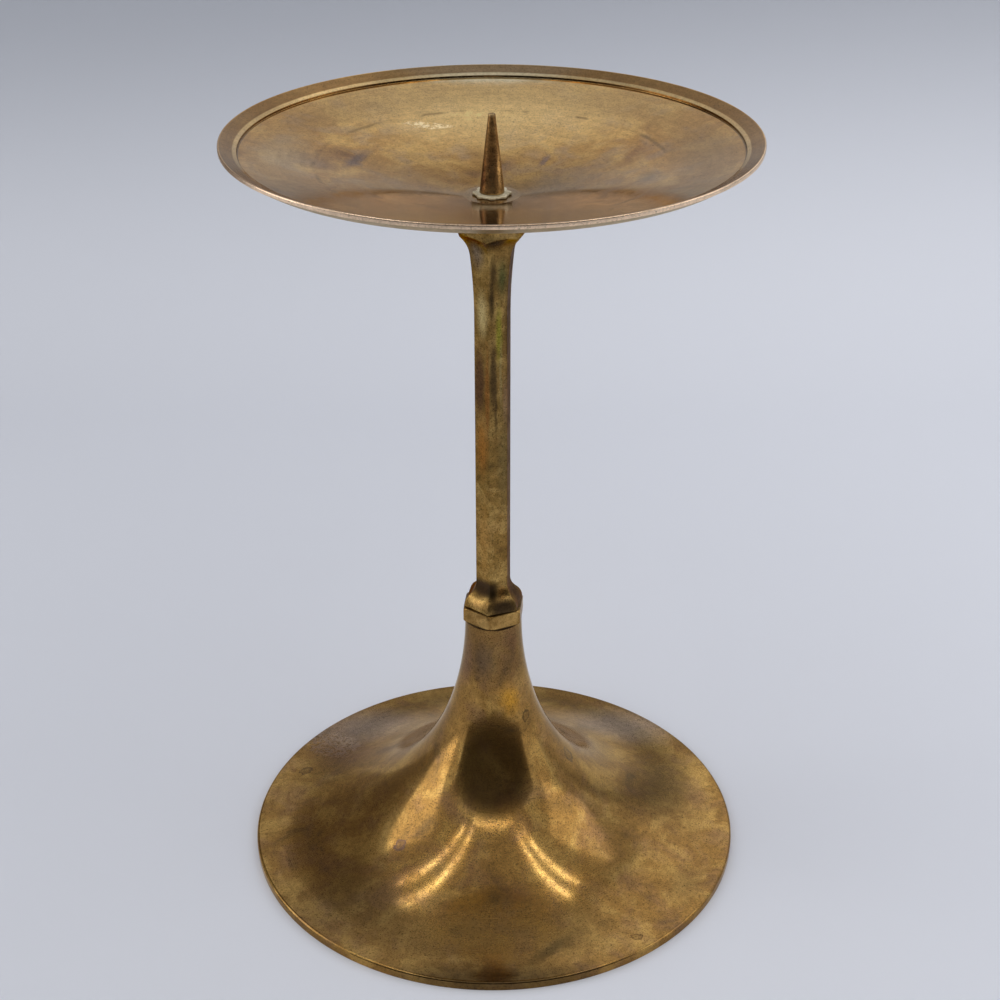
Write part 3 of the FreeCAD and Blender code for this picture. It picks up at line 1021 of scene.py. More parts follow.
@dataclass(frozen=True)
class TrumpetFoot:
    """The bell-shaped foot, turned, hollow below its solid neck."""

    radius: float = 80.0
    height: float = 83.2
    edge_height: float = 2.9
    edge_rounding: float = 0.9
    wall: float = 2.4
    rest_ring: float = 6.0
    neck_radius: float = 9.0
    neck_chamfer: float = 0.3
    flare_top_radius: float = 13.5
    flare_top_height: float = 52.6
    seat_height: float = 58.0
    bore: float = 3.3
    wear: float = 0.15
    dent: float = 0.008
    # Brass turned on a lathe and never lacquered: a brown film lies over the gold, so
    # a soft streak of light down each flank is broken by clouds, drops and specks.
    finish: AgedBrass = AgedBrass(
        name="tarnished turned brass, foot", bright="#B08B4C", middle="#946F3A",
        dark="#644E30", cloud=14.0, gloss=(0.09, 0.2), specks=0.8, fine=0.2, grit=0.55,
        # The underside colour is painted shade on the faces inside the bell that look down
        underside_shade="#6E6048", tint="#7E5E4A", tinted=0.4, arcs=0.05, oxide=0.065,
        edge="#F4EAD8",
        zones=(
            Zone(64.0, 84.0, 5.0, "#5E4832", 0.5, by_height=True),
            # Painted shade in the crevice under the collar, round the top of the neck
            Zone(82.7, 90.0, 0.15, "#20170D", 0.9, by_height=True),
        ),
        marks=(
            Mark((-30.4, -29.2, 14.2), (2.2, 1.8, 2.0), "#6E5444", 1.0, shape=MarkShape.RING),
            Mark((-66.1, 24.5, 3.5), (2.0, 2.0, 2.0), "#4E3A2C", 0.7, shape=MarkShape.RING),
            Mark((10.1, -9.7, 50.8), (1.6, 1.6, 1.8), "#4A3A26", 0.8, shape=MarkShape.RING),
            Mark((4.3, -9.1, 67.8), (1.2, 1.2, 1.3), "#4A3A26", 0.6, shape=MarkShape.RING),
            Mark((24.6, -2.6, 30.4), (2.0, 2.4, 3.4), "#57463A", 0.7, shape=MarkShape.RING),
            Mark((44.2, -60.3, 3.1), (1.7, 1.4, 2.0), "#5A4026", 0.8, shape=MarkShape.RING),
            Mark((18.0, -66.0, 4.0), (14.0, 3.2, 6.0), "#3A2C18", 0.75, turn=38.0,
                 roughness=0.2),
            Mark((62.0, -36.0, 3.4), (14.0, 9.0, 8.0), "#6B5232", 0.5, turn=60.0,
                 roughness=0.12),
            Mark((-50.0, 32.0, 6.0), (28.0, 16.0, 18.0), "#7C5B48", 0.6, turn=-30.0,
                 roughness=0.12),
            Mark((-58.0, 40.0, 3.0), (18.0, 9.0, 8.0), "#6E5A4A", 0.5, turn=-35.0,
                 shape=MarkShape.FLECK, roughness=0.3),
            Mark((-38.0, 25.0, 12.0), (9.0, 5.0, 7.0), "#5B4034", 0.6, turn=-30.0),
            Mark((-8.0, -4.0, 68.0), (4.0, 5.0, 15.0), "#94705E", 0.75, roughness=0.15),
            Mark((-3.0, -8.5, 71.5), (5.5, 5.0, 9.0), "#5E544A", 0.6, roughness=0.12),
            Mark((6.0, -6.5, 78.0), (3.0, 3.5, 5.5), "#7A5034", 0.45),
            Mark((4.6, -9.6, 57.0), (5.0, 5.0, 9.0), "#C68E2E", 0.85),
            Mark((-30.0, -38.0, 14.0), (9.0, 7.0, 6.0), "#6A4A34", 0.4),
            Mark((34.0, -30.0, 14.0), (7.0, 5.0, 5.0), "#7A5C3C", 0.4),
            Mark((-12.0, -60.0, 6.0), (5.0, 3.0, 4.0), "#5A4428", 0.5),
            Mark((-44.0, 50.0, 4.0), (30.0, 18.0, 16.0), "#B4A294", 0.6),
            Mark((44.0, 50.0, 4.0), (30.0, 18.0, 16.0), "#BCAA98", 0.6),
            Mark((0.0, -61.0, 5.0), (54.0, 20.0, 14.0), "#8A7448", 0.5, roughness=0.3,
                 cover=0.4),
            Mark((0.0, -78.0, 3.0), (62.0, 9.0, 8.0), "#433724", 0.72),
            Mark((-48.0, -46.0, 6.0), (34.0, 24.0, 16.0), "#5A462C", 0.55),
            Mark((58.0, 4.0, 7.0), (22.0, 30.0, 14.0), "#6A5232", 0.45),
        ))

    def outline(self) -> Outline:
        """Draws half the bell's section, from the edge over the neck to the inside.

        Returns:
            The outline, with its zero on the floor.
        """
        flare = arc_radius(self.flare_top_height - self.edge_height,
                           self.radius - self.flare_top_radius)
        centre = self.edge_height + flare
        neck = arc_radius(self.flare_top_radius - self.neck_radius,
                          self.height - self.neck_chamfer - self.flare_top_height)
        inside = flare + self.wall
        seat = self.radius - math.sqrt(inside ** 2 - (centre - self.seat_height) ** 2)
        ring = self.radius - self.rest_ring
        ring_top = centre - math.sqrt(inside ** 2 - self.rest_ring ** 2)
        rounding = self.edge_rounding
        edge_top = centre - math.sqrt(flare ** 2 - rounding ** 2)
        return Outline((
            Corner(self.radius, 0.0),
            Corner(self.radius, edge_top - rounding, Turn.LEFT, rounding),
            Corner(self.radius - rounding, edge_top, Turn.RIGHT, flare),
            Corner(self.flare_top_radius, self.flare_top_height, Turn.RIGHT, neck),
            Corner(self.neck_radius, self.height - self.neck_chamfer),
            Corner(self.neck_radius - self.neck_chamfer, self.height),
            Corner(self.bore, self.height),
            Corner(self.bore, self.seat_height),
            Corner(seat, self.seat_height, Turn.LEFT, inside),
            Corner(ring, ring_top),
            Corner(ring, 0.0),
        ), self.wear)

    def build(self, lathe: TurningLathe) -> bpy.types.Object:
        """Turns the foot and puts it in place."""
        piece = lathe.turn("brass_foot", self.outline(), self.finish.make(), 0.0, self.dent)
        return keep(piece, Body.STAND, "trumpet_foot")


def hexagon(angles: np.ndarray, apothem: float, wear: float) -> np.ndarray:
    """Finds how far the edge of a hexagon with worn corners lies from the axis.

    Args:
        angles: angles from a facet's middle in radians, from -30 to 30 degrees.
        apothem: half the width across flats, in millimetres.
        wear: radius of the worn corners.

    Returns:
        The radius at each angle.
    """
    flat = apothem / np.cos(angles)
    corner = (apothem - wear) / math.cos(HALF_FACET)
    tangent = (apothem - wear) * math.tan(HALF_FACET)
    off = HALF_FACET - np.abs(angles)
    reach = np.maximum(wear ** 2 - (corner * np.sin(off)) ** 2, 0.0)
    worn = corner * np.cos(off) + np.sqrt(reach)
    return np.where(apothem * np.tan(np.abs(angles)) > tangent, worn, flat)


def soft_least(first: np.ndarray, second: float, width: float) -> np.ndarray:
    """Takes the lesser of two radii and wears the edge between them.

    Args:
        first: the first radius at each angle.
        second: the other radius, the same all round.
        width: how near the two come before the edge is worn, in millimetres.

    Returns:
        The lesser radius at each angle.
    """
    least = np.minimum(first, second)
    gap = np.abs(first - second)
    return least - np.maximum(width - gap, 0.0) ** 2 / (4.0 * width)


@dataclass(frozen=True)
class HexStem:
    """The stem: round bar with six flats milled along it that run out in lobes."""

    seat: float
    length: float = 132.2
    slim: float = 4.9
    bar: float = 10.0
    turn: float = -10.5
    shoulder: float = 8.45
    shoulder_height: float = 8.3
    swell_start: float = 97.6
    swell_end: float = 116.6
    growth: float = 1.0
    runout_rise: float = 9.4
    runout_reach: float = 10.4
    flange: float = 12.5
    flange_height: float = 2.6
    flare_drop: float = 9.1
    bore: float = 3.05
    foot_bore: float = 20.0
    spike_bore: float = 16.0
    drill_point: float = 1.75
    corner_wear: float = 0.18
    edge_wear: float = 0.35
    foot_wear: float = 0.3
    rim_wear: float = 0.12
    rings_between: Sequence[int] = (26, 24, 16, 64, 5)
    # Drawn brass bar with milled flats: lines run along it, and streaks of copper-red,
    # green and black oxide cross them, so that it looks darker than foot and dish.
    # Painted shade also darkens its right side, its crevice on the collar, the upper and
    # right lobes of the shoulder and a hollow at the top, and a painted highlight lies
    # low on the shoulder's left lobe.
    finish: AgedBrass = AgedBrass(
        name="tarnished milled brass, stem", bright="#AA8A50", middle="#8A6B38",
        dark="#524226", cloud=9.0, grain=Grain.DRAWN, gloss=(0.2, 0.38), specks=0.6,
        fine=0.3, grit=0.6, wander=0.9, tint="#7E5A34", tinted=0.3, edge="#A08058",
        zones=(
            # Painted shade in the crevice where the stem sits on the collar
            Zone(88.0, 88.6, 0.1, "#20170D", 0.8, by_height=True),
            Zone(128.0, 222.0, 18.0, "#5C4A2C", 0.3, by_height=True),
        ),
        marks=(
            Mark((2.8, -4.4, 199.0), (2.4, 5.0, 9.0), "#424C2A", 0.9),
            Mark((0.3, -5.4, 200.5), (1.7, 5.0, 7.0), "#2E2010", 0.85, cover=0.4),
            Mark((-0.2, -5.4, 192.5), (1.2, 5.0, 10.5), "#1A1208", 0.95, cover=0.6),
            Mark((1.9, -4.5, 181.5), (1.5, 5.0, 13.0), "#8E8A2E", 0.9),
            Mark((-3.0, -4.0, 187.5), (2.4, 5.0, 10.0), "#CCB67C", 0.85),
            Mark((-4.0, -3.6, 166.0), (2.4, 5.0, 15.0), "#4E2E24", 0.85, cover=0.3,
                 shape=MarkShape.STREAK),
            Mark((-1.6, -5.2, 162.0), (1.0, 5.0, 20.0), "#8E5A2C", 0.8,
                 shape=MarkShape.STREAK),
            Mark((0.2, -5.2, 168.0), (1.5, 5.0, 16.0), "#33261A", 0.85, cover=0.3,
                 shape=MarkShape.STREAK),
            Mark((0.9, -5.2, 158.0), (0.8, 5.0, 15.0), "#3E2E1C", 0.8, cover=0.2),
            Mark((5.0, -3.4, 186.0), (1.8, 5.0, 28.0), "#3A2E20", 0.9, cover=0.3),
            Mark((3.8, -4.0, 160.0), (1.4, 5.0, 12.0), "#8C6E5A", 0.6),
            Mark((2.4, -4.4, 168.0), (0.6, 5.0, 18.0), "#A89460", 0.7),
            Mark((-3.4, -4.0, 145.0), (2.8, 5.0, 14.0), "#B07434", 0.85),
            Mark((-2.8, -4.0, 112.0), (2.6, 5.0, 22.0), "#B88A4A", 0.5),
            Mark((3.4, -4.0, 140.0), (3.0, 5.0, 26.0), "#6E6240", 0.5),
            # Painted shade down the whole right side of the stem, dulled and half covered by
            # oxide
            Mark((6.8, -0.9, 150.0), (4.6, 6.0, 400.0), "#463420", 1.0, roughness=0.3,
                 cover=0.5),
            # The shoulder marks from here paint light: a painted highlight low on the left front
            # lobe, and painted shade above it and on the front and right lobes
            Mark((-4.2, -4.9, 95.6), (9.0, 9.0, 4.3), "#2C1C0E", 0.95, roughness=0.2,
                 cover=0.85, shape=MarkShape.STREAK),
            Mark((-5.2, -6.1, 90.6), (3.6, 3.4, 2.0), "#B88E52", 0.8),
            Mark((2.8, -7.0, 90.0), (8.0, 5.5, 4.0), "#32261A", 0.95, roughness=0.1,
                 cover=0.65, shape=MarkShape.STREAK),
            Mark((-0.2, -6.0, 94.2), (2.4, 4.0, 7.0), "#1C140A", 0.95, cover=0.6),
            Mark((2.9, -5.6, 94.8), (2.2, 3.0, 3.0), "#7E5426", 0.8, cover=0.2),
            Mark((8.4, -2.0, 94.0), (3.4, 4.0, 7.0), "#5A4228", 1.0, roughness=0.2, cover=0.5),
            # Painted shade in the hollow beside the left lobe at the top
            Mark((0.5, -8.0, 211.0), (4.4, 5.0, 4.0), "#1C1208", 0.95, cover=0.5),
            Mark((-4.8, -5.6, 207.0), (3.6, 5.0, 9.0), "#746A62", 0.85),
            Mark((4.5, -7.0, 214.5), (6.0, 6.0, 2.4), "#9A8058", 0.6),
        ))

    def facet(self, height: float) -> float:
        """Finds how far the milled flat lies from the axis.

        Args:
            height: height above the seat, in millimetres.

        Returns:
            The distance, or one beyond the bar where the flat has run out.
        """
        middle = (self.slim + self.shoulder) / 2.0
        half = self.shoulder_height / 2.0
        ogee = arc_radius(self.shoulder - middle, half)
        if height <= half:
            return self.shoulder - ogee + math.sqrt(ogee ** 2 - max(height, 0.0) ** 2)
        if height <= self.shoulder_height:
            return self.slim + ogee - math.sqrt(ogee ** 2 - (self.shoulder_height - height) ** 2)
        if height <= self.swell_start:
            return self.slim
        if height <= self.swell_end:
            swell = arc_radius(self.growth, self.swell_end - self.swell_start)
            return self.slim + swell - math.sqrt(swell ** 2 - (height - self.swell_start) ** 2)
        swollen = self.slim + self.growth
        runout = arc_radius(self.runout_rise, self.runout_reach)
        end, top = swollen + self.runout_reach, self.swell_end + self.runout_rise
        if height >= top:
            return 3.0 * self.flange
        return end - math.sqrt(max(runout ** 2 - (height - top + runout) ** 2, 0.0))

    def round_bar(self, height: float) -> float:
        """Finds the radius of the turned bar.

        Args:
            height: height above the seat, in millimetres.

        Returns:
            The radius, which grows to the flange near the top.
        """
        foot = self.length - self.flange_height
        start = self.length - self.flare_drop
        if height <= start:
            return self.bar
        if height >= foot:
            return self.flange
        flare = arc_radius(self.flange - self.bar, foot - start)
        return self.bar + flare - math.sqrt(flare ** 2 - (height - start) ** 2)

    def heights(self) -> list[float]:
        """Picks the heights of the rings, close together where the section changes.

        Returns:
            The heights above the seat in millimetres, from the bottom up.
        """
        levels = (self.rim_wear, self.shoulder_height, self.swell_start, self.swell_end,
                  self.length - self.flange_height, self.length - self.rim_wear)
        rows = {round(float(height), 4)
                for low, high, count in zip(levels, levels[1:], self.rings_between)
                for height in np.linspace(low, high, count)}
        return sorted(rows)

    def build(self, copies: RoundCopies) -> bpy.types.Object:
        """Builds one facet of the stem and repeats it six times.

        Args:
            copies: the tool that repeats a sector round the axis.

        Returns:
            The stem in its place.
        """
        angles = fan(HALF_FACET, 29, (0.4, 0.8, 1.2, 1.6, 2.1))
        foot = soft_least(hexagon(angles, self.facet(0.0), self.corner_wear), self.bar,
                          self.foot_wear)
        rings: list[Ring] = [(0.0, self.foot_bore + self.drill_point),
                             (self.bore, self.foot_bore), (self.bore, 0.0)]
        rings += [(self.bore + (foot - self.bore) * s, 0.0) for s in (0.9, 0.985)]
        for height in self.heights():
            section = hexagon(angles, self.facet(height), self.corner_wear)
            rings.append((soft_least(section, self.round_bar(height), self.edge_wear), height))
        top = self.length
        rings += [(self.flange - self.rim_wear, top), (self.bore, top),
                  (self.bore, top - self.spike_bore),
                  (0.0, top - self.spike_bore - self.drill_point)]
        sector = sector_mesh("brass_stem", angles, rings, self.seat, loop=False)
        piece = copies.run("brass_stem", sector, self.finish.make(), Count=SIDES,
                           First_Angle=math.radians(self.turn))
        return keep(piece, Body.STAND, "hex_stem")


@dataclass(frozen=True)
class HexCollar:
    """The hexagonal ring under the stem, with its corners turned off."""

    seat: float
    height: float = 5.2
    apothem: float = 9.0
    face: float = 9.5
    face_edge: float = 0.6
    drop: float = 0.75
    turn: float = -6.0
    bore: float = 3.3
    corner_wear: float = 0.2
    edge_wear: float = 0.12
    # Brass with a satin face: fine lines spread the light, so that it looks paler and
    # flatter than the foot. Painted shade darkens the two crevices at its bottom and top edges.
    finish: AgedBrass = AgedBrass(
        name="satin brass, collar", bright="#B69256", middle="#967440", dark="#6A4E28",
        cloud=5.0, gloss=(0.3, 0.42), specks=0.5, fine=0.24, grit=0.35, tint="#8C6A3A",
        tinted=0.3,
        zones=(
            # Painted shade in the crevices against the foot below and the stem above
            Zone(83.0, 83.65, 0.12, "#241A0E", 0.85, by_height=True),
            Zone(88.28, 88.6, 0.08, "#241A0E", 0.7, by_height=True),
        ))

    def build(self, copies: RoundCopies) -> bpy.types.Object:
        """Builds one side of the collar and repeats it six times.

        Args:
            copies: the tool that repeats a sector round the axis.

        Returns:
            The collar in its place.
        """
        angles = fan(HALF_FACET, 25, (0.4, 0.8, 1.2))
        corner = self.apothem / math.cos(HALF_FACET)
        section = hexagon(angles, self.apothem, self.corner_wear)
        rings: list[Ring] = [(self.bore, 0.0), (self.face - self.face_edge, 0.0)]
        steps = [*np.linspace(0.0, self.drop, 8), *np.linspace(self.drop, self.height / 2.0, 5)]
        for up in steps[1:] + [self.height - s for s in reversed(steps[1:-1])]:
            edge = min(up, self.height - up)
            cone = self.face + (corner - self.face) * min(edge / self.drop, 1.0)
            rings.append((soft_least(section, cone, self.edge_wear), up))
        rings += [(self.face - self.face_edge, self.height), (self.bore, self.height)]
        sector = sector_mesh("brass_collar", angles, rings, self.seat, loop=True)
        piece = copies.run("brass_collar", sector, self.finish.make(), Count=SIDES,
                           First_Angle=math.radians(self.turn))
        return keep(piece, Body.STAND, "hex_collar")


@dataclass(frozen=True)
class DripDish:
    """The wide shallow dish: a cone with a small step and a turned lip."""

    seat: float
    radius: float = 75.5
    rise: float = 19.2
    floor: float = 1.7
    floor_radius: float = 8.0
    boss_radius: float = 12.6
    pan_radius: float = 70.3
    pan_edge: float = 16.3
    shoulder: float = 0.7
    bevel_width: float = 1.4
    bevel_rise: float = 0.65
    edge_height: float = 1.2
    edge_rounding: float = 0.35
    wall: float = 1.3
    bore: float = 3.3
    wear: float = 0.18
    dent: float = 0.03
    # Turned brass that a cloth keeps brighter than the rest: the glossiest piece, so
    # the pan mirrors what stands round it. Painted reflection darkens its front and
    # middle and turns it gold towards the back, painted highlights run round the lip's
    # bevel, and painted shade lines the foot of the step.
    finish: AgedBrass = AgedBrass(
        name="tarnished turned brass, dish", bright="#DEB066", middle="#C29250",
        dark="#8A6038", cloud=12.0, gloss=(0.08, 0.16), specks=0.6, fine=0.16, grit=0.36,
        # The underside colour is painted shade on the faces under the dish
        arcs=0.08, underside_shade="#B09A6C", tint="#A8907A", tinted=0.5, edge="#FAF4EA",
        zones=(
            Zone(0.0, 8.0, 2.4, "#857A66", 0.4, roughness=0.25),
            Zone(53.0, 71.0, 7.0, "#9C7C50", 0.4),
            Zone(49.2, 50.4, 0.5, "#6E5636", 0.55, broken=1.0, roughness=0.1),
            # Painted shade: dark rings in the step's crevice and on its wall
            Zone(69.95, 70.24, 0.1, "#2A1E14", 0.75),
            Zone(70.24, 70.4, 0.05, "#5A4326", 0.6),
            # Painted highlight round the lip's bevel
            Zone(70.4, 71.5, 0.12, "#D8BC88", 0.55),
            Zone(71.5, 75.0, 0.2, "#86643C", 0.85, roughness=0.08),
            Zone(75.2, 90.0, 0.12, "#EACDAE", 0.95, roughness=0.12),
        ),
        marks=(
            Mark((-19.0, 39.3, 230.6), (8.5, 2.2, 4.0), "#F2E4BC", 1.0, turn=4.0,
                 shape=MarkShape.FLECK, roughness=0.3),
            Mark((-38.5, 8.5, 230.0), (14.0, 2.8, 5.0), "#5E5862", 0.7, turn=70.0,
                 roughness=0.12),
            Mark((15.2, 19.0, 226.0), (5.5, 1.6, 3.0), "#666070", 0.65, turn=62.0,
                 roughness=0.12),
            Mark((42.3, 12.1, 230.7), (7.0, 10.0, 5.0), "#8A5F48", 0.45),
            Mark((43.6, -10.5, 230.9), (6.0, 7.0, 5.0), "#66635F", 0.5),
            Mark((-47.0, 0.0, 231.4), (6.0, 16.0, 6.0), "#75533F", 0.5),
            Mark((-5.2, 13.7, 223.8), (5.0, 3.0, 4.0), "#75584E", 0.5),
            Mark((15.0, 0.0, 224.0), (20.0, 13.0, 6.0), "#6E6A58", 0.5),
            Mark((-17.7, -1.0, 224.6), (9.0, 5.0, 5.0), "#8C6244", 0.4),
            Mark((-33.0, 47.5, 234.0), (9.0, 4.0, 5.0), "#6F5844", 0.5, turn=-30.0),
            # Painted reflection: these two make the pan darker at the front and in the middle
            Mark((0.0, -78.0, 240.0), (120.0, 78.0, 70.0), "#4E443A", 0.9),
            Mark((0.0, -2.0, 226.0), (72.0, 36.0, 20.0), "#6E5230", 0.68),
            # Painted reflection: the pan gold towards the back
            Mark((0.0, 50.0, 236.0), (78.0, 38.0, 30.0), "#FFD890", 0.8),
            # Painted highlight: a bright line along the back of the lip's bevel
            Mark((0.0, 71.5, 237.6), (52.0, 8.0, 6.0), "#FFF4CC", 1.0),
            Mark((-58.0, -2.0, 234.0), (13.0, 22.0, 14.0), "#B8A88C", 0.5),
            Mark((60.0, -4.0, 236.0), (17.0, 34.0, 16.0), "#6E563C", 0.6),
        ))

    def outline(self) -> Outline:
        """Draws half the dish's section, from the bore under it to the lip and back.

        Returns:
            The outline, with its zero at the seat.
        """
        shoulder = self.pan_edge + self.shoulder
        bevel = self.pan_radius + self.bevel_width
        top = shoulder + self.bevel_rise
        under = self.rise - self.edge_height
        rounding = self.edge_rounding
        return Outline((
            Corner(self.bore, 0.0),
            Corner(self.boss_radius, 0.0),
            Corner(bevel, shoulder - self.wall),
            Corner(self.radius, under),
            Corner(self.radius, self.rise - rounding, Turn.LEFT, rounding),
            Corner(self.radius - rounding, self.rise),
            Corner(bevel, top),
            Corner(self.pan_radius, shoulder),
            Corner(self.pan_radius, self.pan_edge),
            Corner(self.floor_radius, self.floor),
            Corner(self.bore, self.floor),
        ), self.wear)

    def build(self, lathe: TurningLathe) -> bpy.types.Object:
        """Turns the dish and puts it in place."""
        piece = lathe.turn("brass_dish", self.outline(), self.finish.make(), self.seat, self.dent)
        return keep(piece, Body.STAND, "drip_dish")


@dataclass(frozen=True)
class PetalWasher:
    """The pale washer under the pricket: a ring of eight dull petals."""

    seat: float
    thickness: float = 0.8
    disc: float = 4.95
    petal: float = 1.15
    petal_place: float = 4.4
    petals: int = 8
    bore: float = 3.3
    rounding: float = 0.25
    bevel_width: float = 0.4
    bevel_height: float = 0.1
    flute: float = 0.22
    flute_start: float = 0.35
    # Pressed steel with a dull tin coat: pale and nearly matt, with no mirror in it.
    finish: PlatedSteel = PlatedSteel(
        name="dull tinned steel, washer", light="#E6DAB8", dark="#B4A684",
        gloss=(0.42, 0.6), metallic=0.3, grain_size=0.7, relief=0.04)

    def edge(self, angles: np.ndarray) -> np.ndarray:
        """Finds the radius of the scalloped edge.

        Args:
            angles: angles from a petal's middle, in radians.

        Returns:
            The radius at each angle.
        """
        reach = np.maximum(self.petal ** 2 - (self.petal_place * np.sin(angles)) ** 2, 0.0)
        lobe = self.petal_place * np.cos(angles) + np.sqrt(reach)
        return np.maximum(np.where(reach > 0.0, lobe, self.disc), self.disc)

    def build(self, copies: RoundCopies) -> bpy.types.Object:
        """Builds one petal and repeats it round the stud.

        Args:
            copies: the tool that repeats a sector round the axis.

        Returns:
            The washer in its place.
        """
        half = math.pi / self.petals
        angles = np.linspace(-half, half, 25)
        edge = self.edge(angles)
        rings: list[Ring] = [(self.bore, 0.0), (edge - self.bevel_width, 0.0),
                             (edge, self.bevel_height)]
        for s in np.linspace(0.0, math.pi / 2.0, 5):
            rings.append((edge - self.rounding * (1.0 - math.cos(s)),
                          self.thickness - self.rounding * (1.0 - math.sin(s))))
        rings += [(self.bore + (edge - self.rounding - self.bore) * s, self.thickness)
                  for s in (0.8, 0.55, 0.3)]
        rings.append((self.bore, self.thickness))
        sector = sector_mesh("tinned_washer", angles, rings, self.seat, loop=True)
        self.press(sector, half)
        piece = copies.run("tinned_washer", sector, self.finish.make(), Count=self.petals,
                           First_Angle=0.0)
        return keep(piece, Body.WASHER, "spike_washer")

    def press(self, sector: bpy.types.Mesh, half: float) -> None:
        """Presses a shallow flute between two petals, as a stamping die does.

        Args:
            sector: the skin of one petal, whose upper side is pressed.
            half: half the petal's angle, in radians.
        """
        for vertex in sector.vertices:
            x, y, z = vertex.co
            if z < (self.seat + self.thickness / 2.0) * MM:
                continue
            off = abs(math.atan2(y, x)) / half
            out = (math.hypot(x, y) / MM - self.bore) / (self.disc - self.bore)
            deep = max(off - self.flute_start, 0.0) / (1.0 - self.flute_start)
            vertex.co.z = z - self.flute * min(max(out, 0.0), 1.0) * deep * MM


@dataclass(frozen=True)
class Pricket:
    """The spike: a slim turned cone on a threaded stud."""

    seat: float
    height: float = 22.4
    base: float = 3.5
    band: float = 0.5
    band_wear: float = 0.06
    tip: float = 1.0
    tip_rounding: float = 0.3
    stud: float = 3.0
    stud_length: float = 16.5
    chamfer: float = 0.6
    pitch: float = 1.0
    thread_depth: float = 0.6
    thread_slope: float = 1.15
    thread_root: float = 0.08
    undercut: float = 0.2
    edge_wear: Sequence[float] = (0.35, 0.08)
    # The lathe's centre mark on top: each is a radius and how deep it lies
    centre_mark: Sequence[tuple[float, float]] = ((0.45, 0.0), (0.25, 0.12), (0.0, 0.14))
    # Turned brass that many candles have rubbed: dark, and duller towards the tip. A
    # painted highlight runs down its right side, and painted shade down its left.
    finish: AgedBrass = AgedBrass(
        name="dark polished brass, pricket", bright="#AE9266", middle="#8E7450",
        dark="#50402C", cloud=6.0, gloss=(0.18, 0.32), specks=0.6, fine=0.5, grit=0.6,
        wander=0.6, tint="#6A4C38", tinted=0.4, oxide=0.2, edge="#ECE0CC",
        zones=(Zone(233.5, 250.0, 3.5, "#94703E", 0.5, by_height=True, roughness=0.3),),
        marks=(
            # Painted shade down the left side, and a painted highlight down the right
            Mark((-2.6, -2.0, 229.0), (1.5, 2.0, 10.0), "#6A4A38", 0.8),
            Mark((2.0, -1.8, 231.0), (0.9, 1.6, 12.0), "#F0D49C", 0.85),
            Mark((0.0, -0.8, 245.2), (1.6, 1.6, 0.8), "#E2CC9C", 0.85, roughness=0.2),
        ))

    def cone(self, up: float) -> float:
        """Finds the radius of the cone.

        Args:
            up: height above its seat, in millimetres.

        Returns:
            The radius.
        """
        if up <= self.band:
            return self.base
        knee = self.height - self.tip_rounding
        if up <= knee:
            return self.base + (self.tip - self.base) * (up - self.band) / (knee - self.band)
        fall = self.tip_rounding ** 2 - (up - knee) ** 2
        return self.tip - self.tip_rounding + math.sqrt(max(fall, 0.0))

    def thread(self, angles: np.ndarray, up: float) -> np.ndarray:
        """Finds the radii of the right-hand thread.

        Args:
            angles: angles round the stud, in radians.
            up: height from the seat in millimetres, below zero.

        Returns:
            The radius at each angle.
        """
        phase = (up / self.pitch - angles / (2.0 * math.pi)) % 1.0
        flank = np.abs(phase - 0.5) * 2.0 * self.thread_slope - self.thread_root
        rings = self.stud - self.thread_depth * (1.0 - np.clip(flank, 0.0, 1.0))
        return np.minimum(rings, self.stud - self.chamfer + (up + self.stud_length))

    def build(self) -> bpy.types.Object:
        """Builds the stud with its thread and the cone on it as one skin.

        Returns:
            The pricket in its place.
        """
        angles = np.linspace(0.0, 2.0 * math.pi, 65)
        rings: list[Ring] = [(0.0, -self.stud_length)]
        for up in np.arange(-self.stud_length, -0.05, self.pitch / 8.0):
            rings.append((self.thread(angles, float(up)), float(up)))
        rings += [(self.stud - self.undercut, 0.0)]
        rings += [(self.base - worn, 0.0) for worn in self.edge_wear]
        ups = [0.08, 0.3, self.band - self.band_wear, self.band + self.band_wear, 1.0]
        knee = self.height - self.tip_rounding
        ups += list(np.linspace(1.6, knee, 34))
        ups += [knee + self.tip_rounding * math.sin(a) for a in np.radians([18, 36, 54, 72, 86])]
        rings += [(self.cone(up), up) for up in ups]
        rings += [(radius, self.height - deep) for radius, deep in self.centre_mark]
        mesh = sector_mesh("brass_pricket", angles, rings, self.seat, loop=False)
        mesh.materials.append(self.finish.make())
        piece = bpy.data.objects.new("brass_pricket", outward(mesh))
        bpy.context.scene.collection.objects.link(piece)
        return keep(piece, Body.PRICKET, "pricket_spike")


@dataclass(frozen=True)
class FootFasteners:
    """The screw and the two washers that draw the stand together from below."""

    # Zinc plate that has gone dull: light grey, with a soft sheen
    zinc: PlatedSteel = PlatedSteel(
        name="dull zinc plated steel", light="#B9BAB4", dark="#85857C")
    # Hardened spring steel, oiled: dark grey, a little glossier
    spring: PlatedSteel = PlatedSteel(
        name="oiled spring steel", light="#6A6A68", dark="#3E3E3E", gloss=(0.3, 0.45))

    def build(self) -> None:
        """Gives the construction solids their finish; their shapes are right."""
        zinc, spring = self.zinc.make(), self.spring.make()
        for node, finish in (("foot_screw", zinc), ("foot_flat_washer", zinc),
                             ("foot_spring_washer", spring)):
            paint(node, finish)
            log.info("%s: %s", node, finish.name)


# Camera, floor and light


